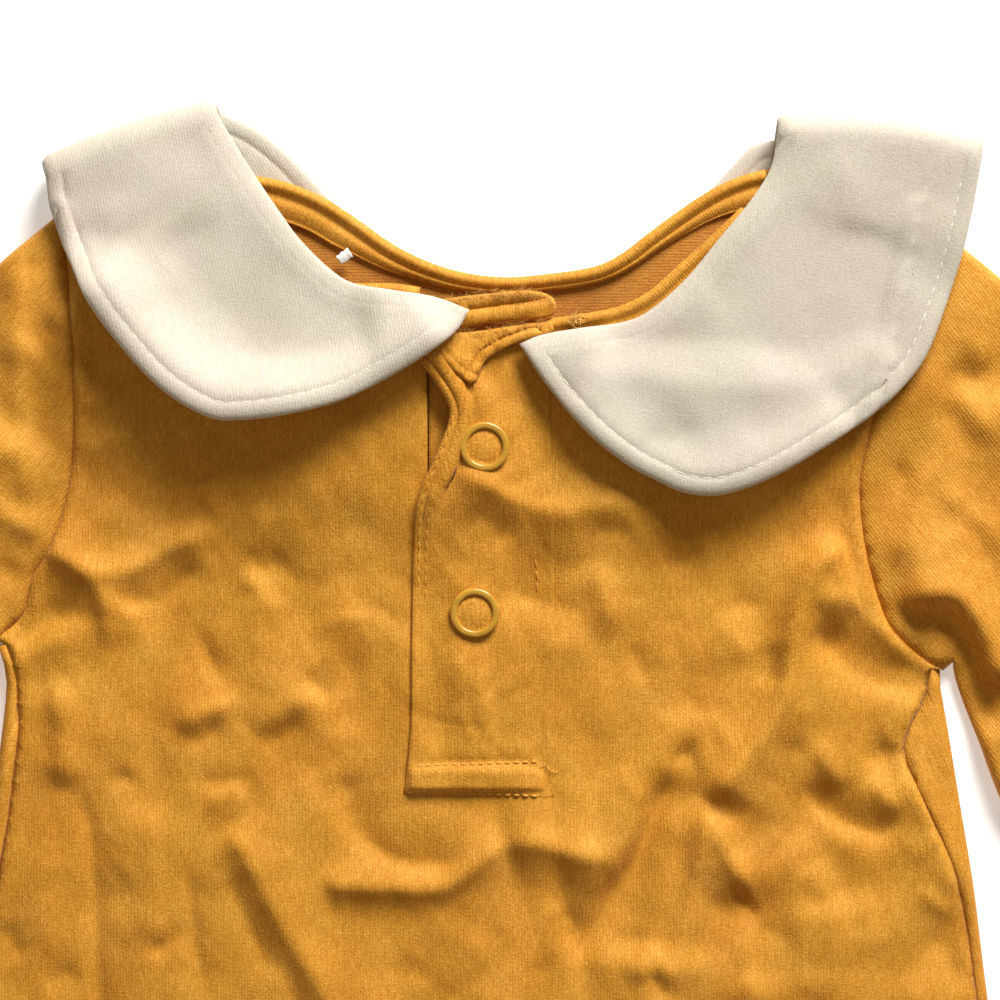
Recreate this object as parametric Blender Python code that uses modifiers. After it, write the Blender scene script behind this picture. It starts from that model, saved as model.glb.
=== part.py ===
"""Baby collared shirt: a mustard jersey top with a cream Peter Pan collar, laid flat, face up.

Tables and helpers work in millimetres and the meshes are made in metres. +X is the wearer's
left side, +Y goes towards the neck and +Z is up. The shirt lies on z = 0.
"""
import math

import bmesh
import bpy
from mathutils import Vector, geometry

MM = 0.001

# ---------------------------------------------------------------- driving sizes, millimetres
CLOTH = 1.0              # jersey wall
COLLAR_CLOTH = 2.0       # two layers of cream jersey, turned and topstitched
PLACKET_CLOTH = 2.0      # folded double
SEAM_GAP = 0.3           # between two pieces that are sewn together
LAYER_GAP = 0.4          # between two pieces that lie on each other
TUBE_GAP = 2.2           # air between the back and the front of the laid shirt

HEM_Y = -148.0           # bottom hem
CELL = 8.5               # size of the panels' facets
BACK_CELL = 12.0
COLLAR_CELL = 7.0
SEAM_STEP = 7.0          # between points along a neck or armhole seam
SLEEVE_CELL = 11.0

SNAP_DIAMETER = 10.4     # outer size of a ring snap
SNAP_RING_WIDTH = 1.7
SNAP_RING_HEIGHT = 1.1

BACK_MIDDLE = CLOTH / 2
FRONT_MIDDLE = CLOTH + TUBE_GAP + CLOTH / 2
BACK_COLLAR_LIFT = COLLAR_CLOTH + SEAM_GAP      # the collar's back half lies under the shirt
LIFT_SHELF = 6.0                                # how far that lift goes on beside it
LIFT_RAMP = 18.0                                # and how far it then takes to fade out
FOLD_FADE = 12.0         # folds fade out over this near the collar, the placket and the hem

OVERLAP_EDGE_LIFT = 1.2  # the overlap's free edge stands up below its tab
OVERLAP_EDGE_WIDTH = 8.0
OVERLAP_LIFT_BOTTOM = 60.0
OVERLAP_LIFT_TOP = 100.0

COLLAR_CLIMB = PLACKET_CLOTH + SEAM_GAP         # where the collar crosses the placket
COLLAR_CLIMB_RUN = 24.0
COLLAR_PUFF = 0.9        # soft waves across the collar
COLLAR_PUFF_RUN = (15.0, 19.0)

COLOURS = {              # colour, roughness, metallic
    "mustard_jersey": ((0.50, 0.205, 0.022), 0.9, 0.0),
    "cream_jersey": ((0.72, 0.64, 0.52), 0.85, 0.0),
    "snap_enamel": ((0.55, 0.24, 0.03), 0.35, 0.0),
    "white_tape": ((0.82, 0.80, 0.75), 0.8, 0.0),
}

# ---------------------------------------------------------------- outlines, x and y in mm
SIDE_RIGHT = [(95.8, 31.2), (97.4, 22.0), (100.0, 6.0), (103.5, -16.0), (106.5, -40.0), (113.0, HEM_Y)]
SIDE_LEFT = [(-100.4, 33.6), (-101.2, 24.0), (-103.5, 6.0), (-106.0, -16.0), (-108.5, -40.0),
             (-115.0, HEM_Y)]
ARMHOLE_RIGHT = [(91.0, 128.0), (88.0, 114.0), (84.5, 98.0), (80.0, 79.0), (78.8, 70.0), (80.5, 56.0),
                 (84.5, 43.6), (89.4, 37.8), (95.2, 33.6)]
ARMHOLE_LEFT = [(-89.0, 128.0), (-87.0, 112.0), (-86.0, 92.0), (-87.4, 72.0), (-91.0, 59.0),
                (-95.5, 50.0), (-101.8, 35.2)]
BACK_NECK = [(-50.0, 141.0), (-43.0, 138.4), (-28.4, 128.2), (-17.9, 121.0), (-7.4, 116.6), (3.2, 114.9),
             (13.7, 115.6), (24.2, 117.8), (34.7, 123.2), (46.0, 131.0), (58.5, 139.5)]
FRONT_NECK_LEFT = [(-50.0, 140.6), (-46.6, 130.5), (-41.0, 121.8), (-34.0, 114.6), (-27.0, 111.0),
                   (-18.0, 108.9), (-12.0, 107.6)]
FRONT_NECK_RIGHT = [(13.3, 100.6), (22.0, 101.2), (30.0, 103.0), (38.5, 107.2), (47.5, 115.0),
                    (55.5, 125.4), (59.8, 134.0), (59.6, 139.8)]

SLEEVE_RIGHT_OUTER = [(108.0, 114.5), (129.0, 97.0), (150.0, 76.5), (169.0, 53.0),
                      (184.0, 27.0), (196.5, 1.0), (206.0, -26.5)]
SLEEVE_RIGHT_INNER = [(99.2, 33.2), (101.8, 26.5), (105.2, 16.5), (110.0, 4.0), (117.5, -10.0),
                      (127.0, -27.5), (139.0, -44.0), (151.0, -58.0)]
SLEEVE_LEFT_OUTER = [(-102.4, 117.0), (-122.0, 100.0), (-144.0, 79.0), (-165.0, 53.5),
                     (-181.0, 27.0), (-195.0, 1.0), (-206.0, -26.5)]
SLEEVE_LEFT_INNER = [(-104.8, 28.0), (-107.0, 18.0), (-111.0, 5.0), (-118.0, -9.5),
                     (-127.5, -27.5), (-139.0, -44.0), (-151.0, -58.0)]

# The collar: its front half is seen, its back half lies under the shirt's back.
COLLAR_LEFT = {
    "fold": [(-91.0, 131.6), (-55.0, 145.2)],
    "front_neck": [(-3.2, 107.6), (-11.5, 110.4), (-20.0, 111.9), (-28.0, 113.6), (-35.0, 120.5),
                   (-42.0, 129.5), (-49.5, 138.2), (-55.0, 145.2)],
    "front_edge": [(-91.0, 131.6), (-87.5, 121.0), (-82.0, 109.5), (-75.0, 99.5), (-66.5, 90.6),
                   (-57.0, 85.2), (-49.5, 84.6), (-39.0, 86.0), (-28.0, 89.2), (-15.0, 96.2),
                   (-6.5, 102.4), (-3.2, 107.6)],
    "back_neck": [(-55.0, 145.2), (-47.5, 143.6), (-36.5, 134.6), (-27.0, 126.0), (-16.0, 118.6),
                  (-6.0, 114.6), (2.6, 112.6)],
    "back_edge": [(2.6, 74.6), (-24.0, 75.6), (-50.0, 80.4), (-68.0, 89.5), (-80.0, 101.5),
                  (-87.5, 116.0), (-91.0, 131.6)],
}
COLLAR_RIGHT = {
    "fold": [(103.6, 137.8), (63.6, 142.6)],
    "front_neck": [(7.2, 100.6), (14.0, 102.6), (25.0, 103.6), (33.0, 106.0), (41.0, 111.0),
                   (49.0, 118.6), (55.0, 127.0), (60.4, 136.0), (63.6, 142.6)],
    "front_edge": [(103.6, 137.8), (101.5, 128.0), (98.0, 114.5), (92.0, 99.5), (84.0, 87.6),
                   (74.0, 78.4), (61.0, 71.8), (48.0, 69.8), (37.5, 71.4), (29.0, 75.4),
                   (21.0, 82.4), (13.0, 91.8), (7.2, 100.6)],
    "back_neck": [(63.6, 142.6), (56.5, 141.2), (46.5, 132.6), (35.0, 123.6), (24.0, 117.2),
                  (13.0, 113.8), (3.8, 112.6)],
    "back_edge": [(3.8, 74.6), (30.0, 75.6), (58.0, 81.6), (77.0, 91.6), (89.5, 104.4),
                  (98.5, 119.0), (103.6, 137.8)],
}

# The placket: a slit in the front, an underlap in it and a snapped overlap on top.
SLIT_LEFT = -12.0
SLIT_RIGHT = 13.3
SLIT_BOTTOM = 10.8
UNDERLAP_TOP = (102.5, 100.0)    # y of its left and right corner
OVERLAP = [(14.2, 5.6), (14.0, 40.0), (13.6, 70.0), (12.9, 101.4), (5.0, 99.2), (0.8, 96.4),
           (-1.8, 91.6), (-5.6, 92.4), (-10.6, 97.2), (-14.4, 98.2), (-9.6, 91.8), (-7.2, 86.0),
           (-9.8, 78.0), (-13.4, 70.0), (-14.8, 62.0), (-15.4, 40.0), (-15.6, 20.0), (-17.0, 6.4)]
OVERLAP_TAB = [(14.0, 105.4), (7.0, 104.6), (-2.0, 103.3), (-10.8, 102.4), (-10.4, 99.2),
               (-5.8, 94.4), (-2.2, 92.6), (0.2, 97.2), (4.6, 100.0), (10.0, 102.0), (14.2, 103.2)]
UNDERLAP_TAB = [(-8.6, 110.2), (2.0, 111.4), (10.0, 111.8), (14.0, 110.6), (15.0, 108.0),
                (12.6, 106.2), (4.0, 105.6), (-3.0, 104.6), (-11.2, 103.6), (-11.4, 107.0)]
SNAP_CENTRES = {"snap_ring_upper": (0.0, 79.2), "snap_ring_lower": (-2.1, 44.4)}
LABEL_STUB = {"centre": (-29.4, 119.2), "size": (3.0, 2.2, 0.8), "turn": 35.0}
THREAD_KNOT = {"centre": (18.6, 105.6), "size": (3.0, 2.4, 1.4)}

FRONT_BINDING_WIDTH = 4.0
BACK_BINDING_WIDTH = 7.0
BACK_BINDING_INSET = 4.3       # from the back neck's edge to the middle of the binding

# Largest folds of the laid cloth. Each runs start, middle, end; a trough has a negative height.
# (x, y), (x, y), (x, y), height, half width
FOLDS = [
    ((67.6, 50.0), (56.0, 17.0), (37.0, -36.0), 5.5, 9.0),       # long fold from the right armhole
    ((37.0, -36.0), (28.0, -80.0), (26.0, -140.0), 4.0, 10.0),   # and on towards the hem
    ((66.0, 24.0), (82.0, 27.0), (95.0, 26.0), 3.2, 7.0),        # under the right underarm
    ((70.0, 43.0), (82.0, 36.0), (94.0, 32.0), -1.0, 6.0),
    ((64.0, 9.0), (76.0, 1.0), (90.0, 0.0), -1.0, 7.0),
    ((72.0, -14.0), (76.0, -60.0), (80.0, -120.0), 2.5, 9.0),
    ((-30.0, -8.0), (-2.0, -13.0), (26.0, -8.0), 3.2, 7.0),      # sag below the placket
    ((-52.0, 2.0), (-42.0, -16.0), (-28.0, -38.0), 3.2, 7.5),    # left diagonal
    ((-28.0, -38.0), (-20.0, -70.0), (-22.0, -130.0), 3.5, 9.0),
    ((-58.0, -6.0), (-50.0, -20.0), (-42.0, -34.0), -1.0, 6.0),
    ((-83.0, -6.0), (-82.0, -50.0), (-78.0, -110.0), 2.6, 9.0),
    ((-90.0, 57.0), (-82.0, 50.0), (-79.0, 40.0), 3.2, 6.5),     # left underarm
    ((-88.0, 63.0), (-75.0, 59.0), (-56.0, 62.0), 2.6, 7.0),
    ((-66.0, 20.0), (-56.0, 26.5), (-44.0, 30.0), 2.6, 7.0),
    ((-31.0, 22.0), (-28.0, 32.0), (-26.0, 48.0), 2.0, 7.0),
    ((27.0, 58.0), (29.0, 38.0), (25.0, 8.0), 2.2, 7.0),         # right of the placket
    ((80.0, 66.0), (94.0, 60.0), (110.0, 46.0), 4.0, 8.0),       # right sleeve, near the seam
    ((104.0, 92.0), (122.0, 70.0), (132.0, 40.0), 3.0, 8.0),
    ((124.0, 36.0), (146.0, 14.0), (176.0, 4.0), 3.0, 8.0),
    ((-96.0, 84.0), (-112.0, 62.0), (-118.0, 34.0), 3.0, 8.0),   # left sleeve
    ((-112.0, 92.0), (-138.0, 60.0), (-150.0, 24.0), 2.8, 8.0),
    ((-128.0, 8.0), (-150.0, -4.0), (-184.0, -4.0), 2.4, 8.0),
]


# ---------------------------------------------------------------- plane geometry
def smooth(value):
    """Ease from 0 to 1 as value goes from 0 to 1."""
    value = min(max(value, 0.0), 1.0)
    return value * value * (3.0 - 2.0 * value)


def spline(points, step):
    """Points about every step along a Catmull-Rom curve through the given points."""
    knots = [Vector(point) for point in points]
    knots = [2 * knots[0] - knots[1]] + knots + [2 * knots[-1] - knots[-2]]
    curve = []
    for before, start, end, after in zip(knots, knots[1:], knots[2:], knots[3:]):
        count = max(1, round((end - start).length / step))
        for index in range(count):
            t = index / count
            curve.append(0.5 * (2 * start + (end - before) * t
                                + (2 * before - 5 * start + 4 * end - after) * t ** 2
                                + (3 * start - before - 3 * end + after) * t ** 3))
    curve.append(knots[-2])
    return curve


def along(curve, share):
    """The point at a share of a curve's length."""
    lengths = [(b - a).length for a, b in zip(curve, curve[1:])]
    left = share * sum(lengths)
    for (start, end), length in zip(zip(curve, curve[1:]), lengths):
        if left <= length:
            return start.lerp(end, left / length)
        left -= length
    return curve[-1].copy()


def beside(curve, distance):
    """The curve moved sideways, to its left for a positive distance."""
    moved = []
    for index, point in enumerate(curve):
        run = curve[min(index + 1, len(curve) - 1)] - curve[max(index - 1, 0)]
        moved.append(point + Vector((-run.y, run.x)).normalized() * distance)
    return moved


def distance_to_line(point, curve):
    """Distance from a point to a curve, and the share of the curve where it is met."""
    best, where = 1e9, 0.0
    for index, (start, end) in enumerate(zip(curve, curve[1:])):
        run = end - start
        t = min(max((point - start).dot(run) / max(run.length_squared, 1e-9), 0.0), 1.0)
        gap = (point - start - run * t).length
        if gap < best:
            best, where = gap, (index + t) / (len(curve) - 1)
    return best, where


def is_inside(point, outline):
    """Whether a point lies inside a closed outline."""
    inside = False
    for start, end in zip(outline, outline[1:] + outline[:1]):
        if (start.y > point.y) != (end.y > point.y):
            cross = start.x + (point.y - start.y) * (end.x - start.x) / (end.y - start.y)
            inside ^= point.x < cross
    return inside


def distance_outside(point, outline):
    """Distance to a closed outline, zero inside it."""
    if is_inside(point, outline):
        return 0.0
    return distance_to_line(point, outline + outline[:1])[0]


def closed_outline(stretches, step):
    """One closed outline from stretches that start where the last one ended."""
    outline = []
    for stretch in stretches:
        outline += spline(stretch, step)[:-1]
    return outline


# ---------------------------------------------------------------- heights of the layers
FRONT_COLLARS = [closed_outline([half["front_neck"], half["fold"][::-1], half["front_edge"]], 6.0)
                 for half in (COLLAR_LEFT, COLLAR_RIGHT)]
BACK_COLLARS = [closed_outline([half["back_neck"], [half["back_neck"][-1], half["back_edge"][0]],
                                half["back_edge"]], 6.0)
                for half in (COLLAR_LEFT, COLLAR_RIGHT)]
PLACKET_AREA = [Vector(corner) for corner in ((-17.0, 3.0), (15.0, 3.0), (15.0, 112.0), (-17.0, 112.0))]
FOLD_LINES = [(spline(fold[:3], 12.0), fold[3], fold[4]) for fold in FOLDS]


def back_height(point):
    """Middle of the shirt's lower layer."""
    away = min(distance_outside(point, outline) for outline in BACK_COLLARS)
    return BACK_MIDDLE + BACK_COLLAR_LIFT * smooth(1.0 - (away - LIFT_SHELF) / LIFT_RAMP)


def fold_height(point):
    """Folds of the upper layer, which end before the collar, the placket and the hem."""
    covered = min(distance_outside(point, area) for area in FRONT_COLLARS + [PLACKET_AREA])
    share = smooth(covered / FOLD_FADE) * smooth((point.y - HEM_Y) / FOLD_FADE)
    height = 0.0
    for line, rise, half_width in FOLD_LINES:
        away, where = distance_to_line(point, line)
        if away < 3 * half_width:
            taper = math.sqrt(max(4.0 * where * (1.0 - where), 0.0))
            height += rise * taper * math.exp(-(away / half_width) ** 2)
    return share * height


def front_height(point):
    """Middle of the shirt's upper layer, on the body and on the sleeves."""
    back = back_height(point)
    lowest = back + CLOTH + SEAM_GAP
    return max(back - BACK_MIDDLE + FRONT_MIDDLE + fold_height(point), lowest)


def overlap_height(point):
    """Middle of the placket's overlap, whose free edge lifts towards the neck."""
    lift = OVERLAP_EDGE_LIFT * smooth((OVERLAP_EDGE_WIDTH + SLIT_LEFT - 2.0 - point.x) / OVERLAP_EDGE_WIDTH)
    lift *= smooth((point.y - OVERLAP_LIFT_BOTTOM) / (2 * OVERLAP_EDGE_WIDTH))
    lift *= smooth((OVERLAP_LIFT_TOP - point.y) / OVERLAP_EDGE_WIDTH)
    return front_height(point) + (CLOTH + PLACKET_CLOTH) / 2 + SEAM_GAP + lift


def collar_height(point):
    """Middle of the collar's front half. It climbs where it crosses the placket."""
    away = max(point.x - SLIT_RIGHT - 1.0, SLIT_LEFT - 4.0 - point.x, 0.0)
    near = smooth(1.0 - away / COLLAR_CLIMB_RUN)
    wave = 1.0 + math.sin(point.x / COLLAR_PUFF_RUN[0] + point.y / COLLAR_PUFF_RUN[1])
    above = LAYER_GAP + COLLAR_CLIMB * near + COLLAR_PUFF * wave * (1.0 - near)
    return front_height(point) + (CLOTH + COLLAR_CLOTH) / 2 + above


# ---------------------------------------------------------------- making the pieces
def clear_scene():
    for old in list(bpy.data.objects):
        bpy.data.objects.remove(old, do_unlink=True)


def make_material(name):
    colour, roughness, metallic = COLOURS[name]
    material = bpy.data.materials.new(name)
    material.use_nodes = True
    shader = material.node_tree.nodes["Principled BSDF"]
    shader.inputs["Base Color"].default_value = (*colour, 1.0)
    shader.inputs["Roughness"].default_value = roughness
    shader.inputs["Metallic"].default_value = metallic
    material.diffuse_color = (*colour, 1.0)
    return material


def finish(name, points, faces, material, thickness):
    """An open surface in millimetres becomes a cloth wall with the surface in its middle."""
    mesh = bpy.data.meshes.new(name)
    mesh.from_pydata([Vector(point) * MM for point in points], [], faces)
    shape = bmesh.new()
    shape.from_mesh(mesh)
    bmesh.ops.recalc_face_normals(shape, faces=shape.faces)
    shape.to_mesh(mesh)
    shape.free()
    cloth = bpy.data.objects.new(name, mesh)
    SHIRT.objects.link(cloth)
    mesh.materials.append(material)
    wall = cloth.modifiers.new("wall", "SOLIDIFY")
    wall.thickness = thickness * MM
    wall.offset = 0.0
    wall.use_even_offset = True
    wall.thickness_clamp = 0.0
    return cloth


def lattice(outline, cell):
    """Points of one shared triangular grid that lie well inside an outline."""
    row_height = cell * math.sqrt(3.0) / 2.0
    xs = [point.x for point in outline]
    ys = [point.y for point in outline]
    points = []
    for row in range(math.floor(min(ys) / row_height), math.ceil(max(ys) / row_height) + 1):
        shift = 0.5 * (row % 2)
        for column in range(math.floor(min(xs) / cell) - 1, math.ceil(max(xs) / cell) + 1):
            point = Vector(((column + shift) * cell, row * row_height))
            if is_inside(point, outline):
                points.append(point)
    return points


def facets(outline, cell, fold_lines=()):
    """Facet flat cloth: its points, with the outline's first and in order, and its faces."""
    points = list(outline)
    edges = [(index, (index + 1) % len(outline)) for index in range(len(outline))]
    for line in fold_lines:
        edges += [(len(points) + index, len(points) + index + 1) for index in range(len(line) - 1)]
        points += line
    guides = [outline + outline[:1]] + list(fold_lines)
    for point in lattice(outline, cell):
        if min(distance_to_line(point, guide)[0] for guide in guides) > 0.5 * cell:
            points.append(point)
    border = [list(range(len(outline)))]
    flat, _, faces, *_ = geometry.delaunay_2d_cdt(points, edges, border, 1, 1e-4)
    return flat, faces


def sheet(name, outline, place, material, thickness, cell, fold_lines=()):
    """Cut the outline out of flat cloth, facet it, and put each point where place says."""
    flat, faces = facets(outline, cell, fold_lines)
    return finish(name, [place(point) for point in flat], faces, material, thickness)


def laid(height):
    """Place for a sheet that is not folded: its plan with a height at each point."""
    return lambda point: (point.x, point.y, height(point))


def ribbon(name, middle, width, height, material, thickness):
    """A strip of even width along a line in plan."""
    rows = [beside(middle, share * width) for share in (-0.5, 0.0, 0.5)]
    points = [(point.x, point.y, height(point)) for row in rows for point in row]
    count = len(middle)
    faces = [(row * count + index, row * count + index + 1,
              (row + 1) * count + index + 1, (row + 1) * count + index)
             for row in range(2) for index in range(count - 1)]
    return finish(name, points, faces, material, thickness)


# ---------------------------------------------------------------- body
ARC_STEPS = 4            # facets round a folded edge
SIDE_FOLD_RADIUS = (FRONT_MIDDLE - BACK_MIDDLE) / 2
# How far the back comes round to the front beside the fold, from the underarm down: (y, reach)
SIDE_WRAP = [(32.0, 2.4), (18.0, 9.0), (5.0, 6.0), (-14.0, 3.4), (-40.0, 2.4), (HEM_Y, 2.4)]


def table_value(table, key):
    """Straight-line reading of a two-column table whose first column falls."""
    if key >= table[0][0]:
        return table[0][1]
    for (high, first), (low, second) in zip(table, table[1:]):
        if key >= low:
            return first + (second - first) * (high - key) / (high - low)
    return table[-1][1]


def side_at(side, y):
    """x of a side fold's middle surface at a height y."""
    return table_value([(point[1], point[0]) for point in side], y)


def side_sign(side):
    return 1.0 if side is SIDE_RIGHT else -1.0


def side_line(side, reach_of):
    """A line beside a side fold, from the underarm to the hem; reach_of gives its offset."""
    count = 14
    line = []
    for index in range(count + 1):
        y = side[0][1] + (HEM_Y - side[0][1]) * index / count
        line.append(Vector((side_at(side, y) + side_sign(side) * reach_of(y), y)))
    return line


def back_place(point):
    """The back lies flat, and its sides come round to the front."""
    side = SIDE_RIGHT if point.x > 0 else SIDE_LEFT
    sign = side_sign(side)
    start = side_at(side, point.y) - sign * (SIDE_FOLD_RADIUS + CLOTH / 2)
    past = sign * (point.x - start)
    if point.y > side[0][1] + 0.01 or past <= 0.0:
        return (point.x, point.y, back_height(point))
    edge = Vector((start, point.y))
    radius = (front_height(edge) - back_height(edge)) / 2
    turned = past / SIDE_FOLD_RADIUS
    if turned < math.pi:
        return (start + sign * SIDE_FOLD_RADIUS * math.sin(turned), point.y,
                back_height(edge) + radius * (1.0 - math.cos(turned)))
    top = Vector((start - sign * (past - math.pi * SIDE_FOLD_RADIUS), point.y))
    return (top.x, top.y, front_height(top))


def fold_reaches():
    """Offsets of the lines round a side fold, from where it leaves the ground to the top."""
    start = -(SIDE_FOLD_RADIUS + CLOTH / 2)
    return [start + math.pi * SIDE_FOLD_RADIUS * step / ARC_STEPS for step in range(ARC_STEPS + 1)]


def armhole_line(armhole):
    return spline(armhole, SEAM_STEP)


def make_back(material):
    reaches = fold_reaches()

    def cut_edge(y):
        return reaches[-1] + table_value(SIDE_WRAP, y) + reaches[0]

    sides = {}
    folds = []
    for armhole, side in ((ARMHOLE_RIGHT, SIDE_RIGHT), (ARMHOLE_LEFT, SIDE_LEFT)):
        fold_lines = [side_line(side, lambda y, reach=reach: reach) for reach in reaches]
        sign = side_sign(side)
        seam = [point for point in armhole_line(armhole) if sign * (fold_lines[0][0].x - point.x) > 1.0]
        sides[sign] = seam + [line[0] for line in fold_lines] + side_line(side, cut_edge)
        folds += fold_lines
    right, left = sides[1.0], sides[-1.0]
    outline = spline(BACK_NECK, 9.0)[:-1] + spline([BACK_NECK[-1], right[0]], 12.0)[:-1]
    outline += right + spline([right[-1], left[-1]], 12.0)[1:-1] + left[::-1]
    outline += spline([left[0], BACK_NECK[0]], 12.0)[1:-1]
    return sheet("back_panel", outline[::-1], back_place, material, CLOTH, BACK_CELL, folds)


def make_front(material):
    def seam(armhole, side):
        """Armhole, then the side seam 0.3 mm inside the edge of the back."""
        inset = 2 * fold_reaches()[0]
        line = side_line(side, lambda y: inset / 2 - table_value(SIDE_WRAP, y) - SEAM_GAP)
        sign = side_sign(side)
        top = [point for point in armhole_line(armhole) if sign * (line[0].x - point.x) > 1.0]
        return top + line

    right = seam(ARMHOLE_RIGHT, SIDE_RIGHT)
    left = seam(ARMHOLE_LEFT, SIDE_LEFT)
    outline = spline([(SLIT_RIGHT, SLIT_BOTTOM), FRONT_NECK_RIGHT[0]], CELL)[:-1]
    outline += spline(FRONT_NECK_RIGHT, SEAM_STEP)[:-1]
    outline += spline([FRONT_NECK_RIGHT[-1], right[0]], CELL)[:-1]
    outline += right + spline([right[-1], left[-1]], CELL)[1:-1] + left[::-1]
    outline += spline([left[0], FRONT_NECK_LEFT[0]], CELL)[1:-1]
    outline += spline(FRONT_NECK_LEFT, SEAM_STEP)
    outline += spline([FRONT_NECK_LEFT[-1], (SLIT_LEFT, SLIT_BOTTOM)], CELL)[1:]
    outline += spline([(SLIT_LEFT, SLIT_BOTTOM), (SLIT_RIGHT, SLIT_BOTTOM)], CELL)[1:-1]
    return sheet("front_panel", outline[::-1], laid(front_height), material, CLOTH, CELL)


# ---------------------------------------------------------------- sleeves
def trimmed(curve, cut):
    """The curve with a length cut off each end, and its other points kept."""
    share = cut / sum((end - start).length for start, end in zip(curve, curve[1:]))
    return [along(curve, share)] + curve[1:-1] + [along(curve, 1.0 - share)]


def make_sleeve(name, armhole, outer, inner, outward, material):
    """A flattened tube from the armhole seam to the cuff: two layers joined by two folded edges."""
    seam = beside(armhole_line(armhole), outward * SEAM_GAP)
    top_edge = spline([seam[0]] + outer, SLEEVE_CELL)
    low_edge = spline([seam[-1]] + inner, SLEEVE_CELL)
    seam_in = trimmed(seam, SIDE_FOLD_RADIUS)
    cuff_in = trimmed(spline([top_edge[-1], low_edge[-1]], SLEEVE_CELL), SIDE_FOLD_RADIUS)
    top_in = beside(top_edge, -outward * SIDE_FOLD_RADIUS)
    low_in = beside(low_edge, outward * SIDE_FOLD_RADIUS)
    top_in = [seam_in[0]] + top_in[1:-1] + [cuff_in[0]]
    low_in = [seam_in[-1]] + low_in[1:-1] + [cuff_in[-1]]

    outline = top_in + cuff_in[1:-1] + low_in[::-1] + seam_in[-2:0:-1]
    flat, faces = facets(outline, SLEEVE_CELL)
    upper = [(point.x, point.y, front_height(point)) for point in flat]
    lower = [(point.x, point.y, back_height(point)) for point in flat]
    points = upper + lower
    below = [tuple(index + len(flat) for index in face[::-1]) for face in faces]
    faces = [tuple(face) for face in faces] + below

    for inset, edge in ((top_in, top_edge), (low_in, low_edge)):
        rows = []
        for centre, outermost in zip(inset, edge):
            at = outline.index(centre)
            row = [at]
            for spot in folded_edge(centre, outermost):
                row.append(len(points))
                points.append(spot)
            rows.append(row + [at + len(flat)])
        for one, other in zip(rows, rows[1:]):
            for step in range(ARC_STEPS):
                faces.append((one[step], other[step], other[step + 1], one[step + 1]))
    return finish(name, points, faces, material, CLOTH)


def folded_edge(centre, edge):
    """The points between two layers round a folded edge, from the upper one down."""
    low, high = back_height(centre), front_height(centre)
    points = []
    for step in range(1, ARC_STEPS):
        turned = math.pi * step / ARC_STEPS
        spot = centre.lerp(edge, math.sin(turned))
        points.append((spot.x, spot.y, high - (high - low) * (1 - math.cos(turned)) / 2))
    return points


# ---------------------------------------------------------------- collar
def make_collar(name, half, material):
    """Half a collar, folded at the shoulder: front half on top, back half below the shirt."""
    start, end = (Vector(point) for point in half["fold"])
    run = (end - start).normalized()
    out = Vector((-run.y, run.x))
    if out.y < 0:
        out = -out
    middle = (start + end) / 2
    radius = (collar_height(middle) - COLLAR_CLOTH / 2) / 2
    round_it = math.pi * radius

    def unfold(point):
        """Where a plan point of the back half lies in the flat cloth."""
        point = Vector(point)
        past = (point - start).dot(out)
        return point - out * (2 * past) + out * round_it

    def place(point):
        past = (point - start).dot(out)
        foot = point - out * past
        if past <= 0.0:
            return (point.x, point.y, collar_height(point))
        if past >= round_it:
            spot = foot - out * (past - round_it)
            return (spot.x, spot.y, COLLAR_CLOTH / 2)
        turned = past / radius
        spot = foot + out * radius * math.sin(turned)
        top = collar_height(foot)
        return (spot.x, spot.y, top - (top - COLLAR_CLOTH / 2) * (1 - math.cos(turned)) / 2)

    back_neck = [unfold(point) for point in spline(half["back_neck"], COLLAR_CELL)]
    back_edge = [unfold(point) for point in spline(half["back_edge"], COLLAR_CELL)]
    arc = [out * (round_it * step / 6) for step in range(1, 6)]
    outline = spline(half["front_neck"], COLLAR_CELL) + [end + move for move in arc]
    outline += back_neck + spline([back_neck[-1], back_edge[0]], COLLAR_CELL)[1:-1] + back_edge
    outline += [start + move for move in arc[::-1]] + spline(half["front_edge"], COLLAR_CELL)[:-1]
    folds = []
    for step in range(7):
        shift = out * (round_it * step / 6)
        folds.append([point + shift for point in spline([start, end], COLLAR_CELL)])
    if name == "collar_right":
        outline = outline[::-1]
    return sheet(name, outline, place, material, COLLAR_CLOTH, COLLAR_CELL, folds)


# ---------------------------------------------------------------- neck, placket and small pieces
def make_bindings(material):
    left = beside(spline(FRONT_NECK_LEFT, SEAM_STEP), SEAM_GAP + FRONT_BINDING_WIDTH / 2)
    right = beside(spline(FRONT_NECK_RIGHT, SEAM_STEP), SEAM_GAP + FRONT_BINDING_WIDTH / 2)
    ribbon("neck_binding_left", left, FRONT_BINDING_WIDTH, front_height, material, CLOTH)
    ribbon("neck_binding_right", right, FRONT_BINDING_WIDTH, front_height, material, CLOTH)
    inside = beside(spline(BACK_NECK, 6.0)[1:-1], -BACK_BINDING_INSET)
    ribbon("neck_binding_back", inside, BACK_BINDING_WIDTH,
           lambda point: back_height(point) + CLOTH + SEAM_GAP, material, CLOTH)


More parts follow.
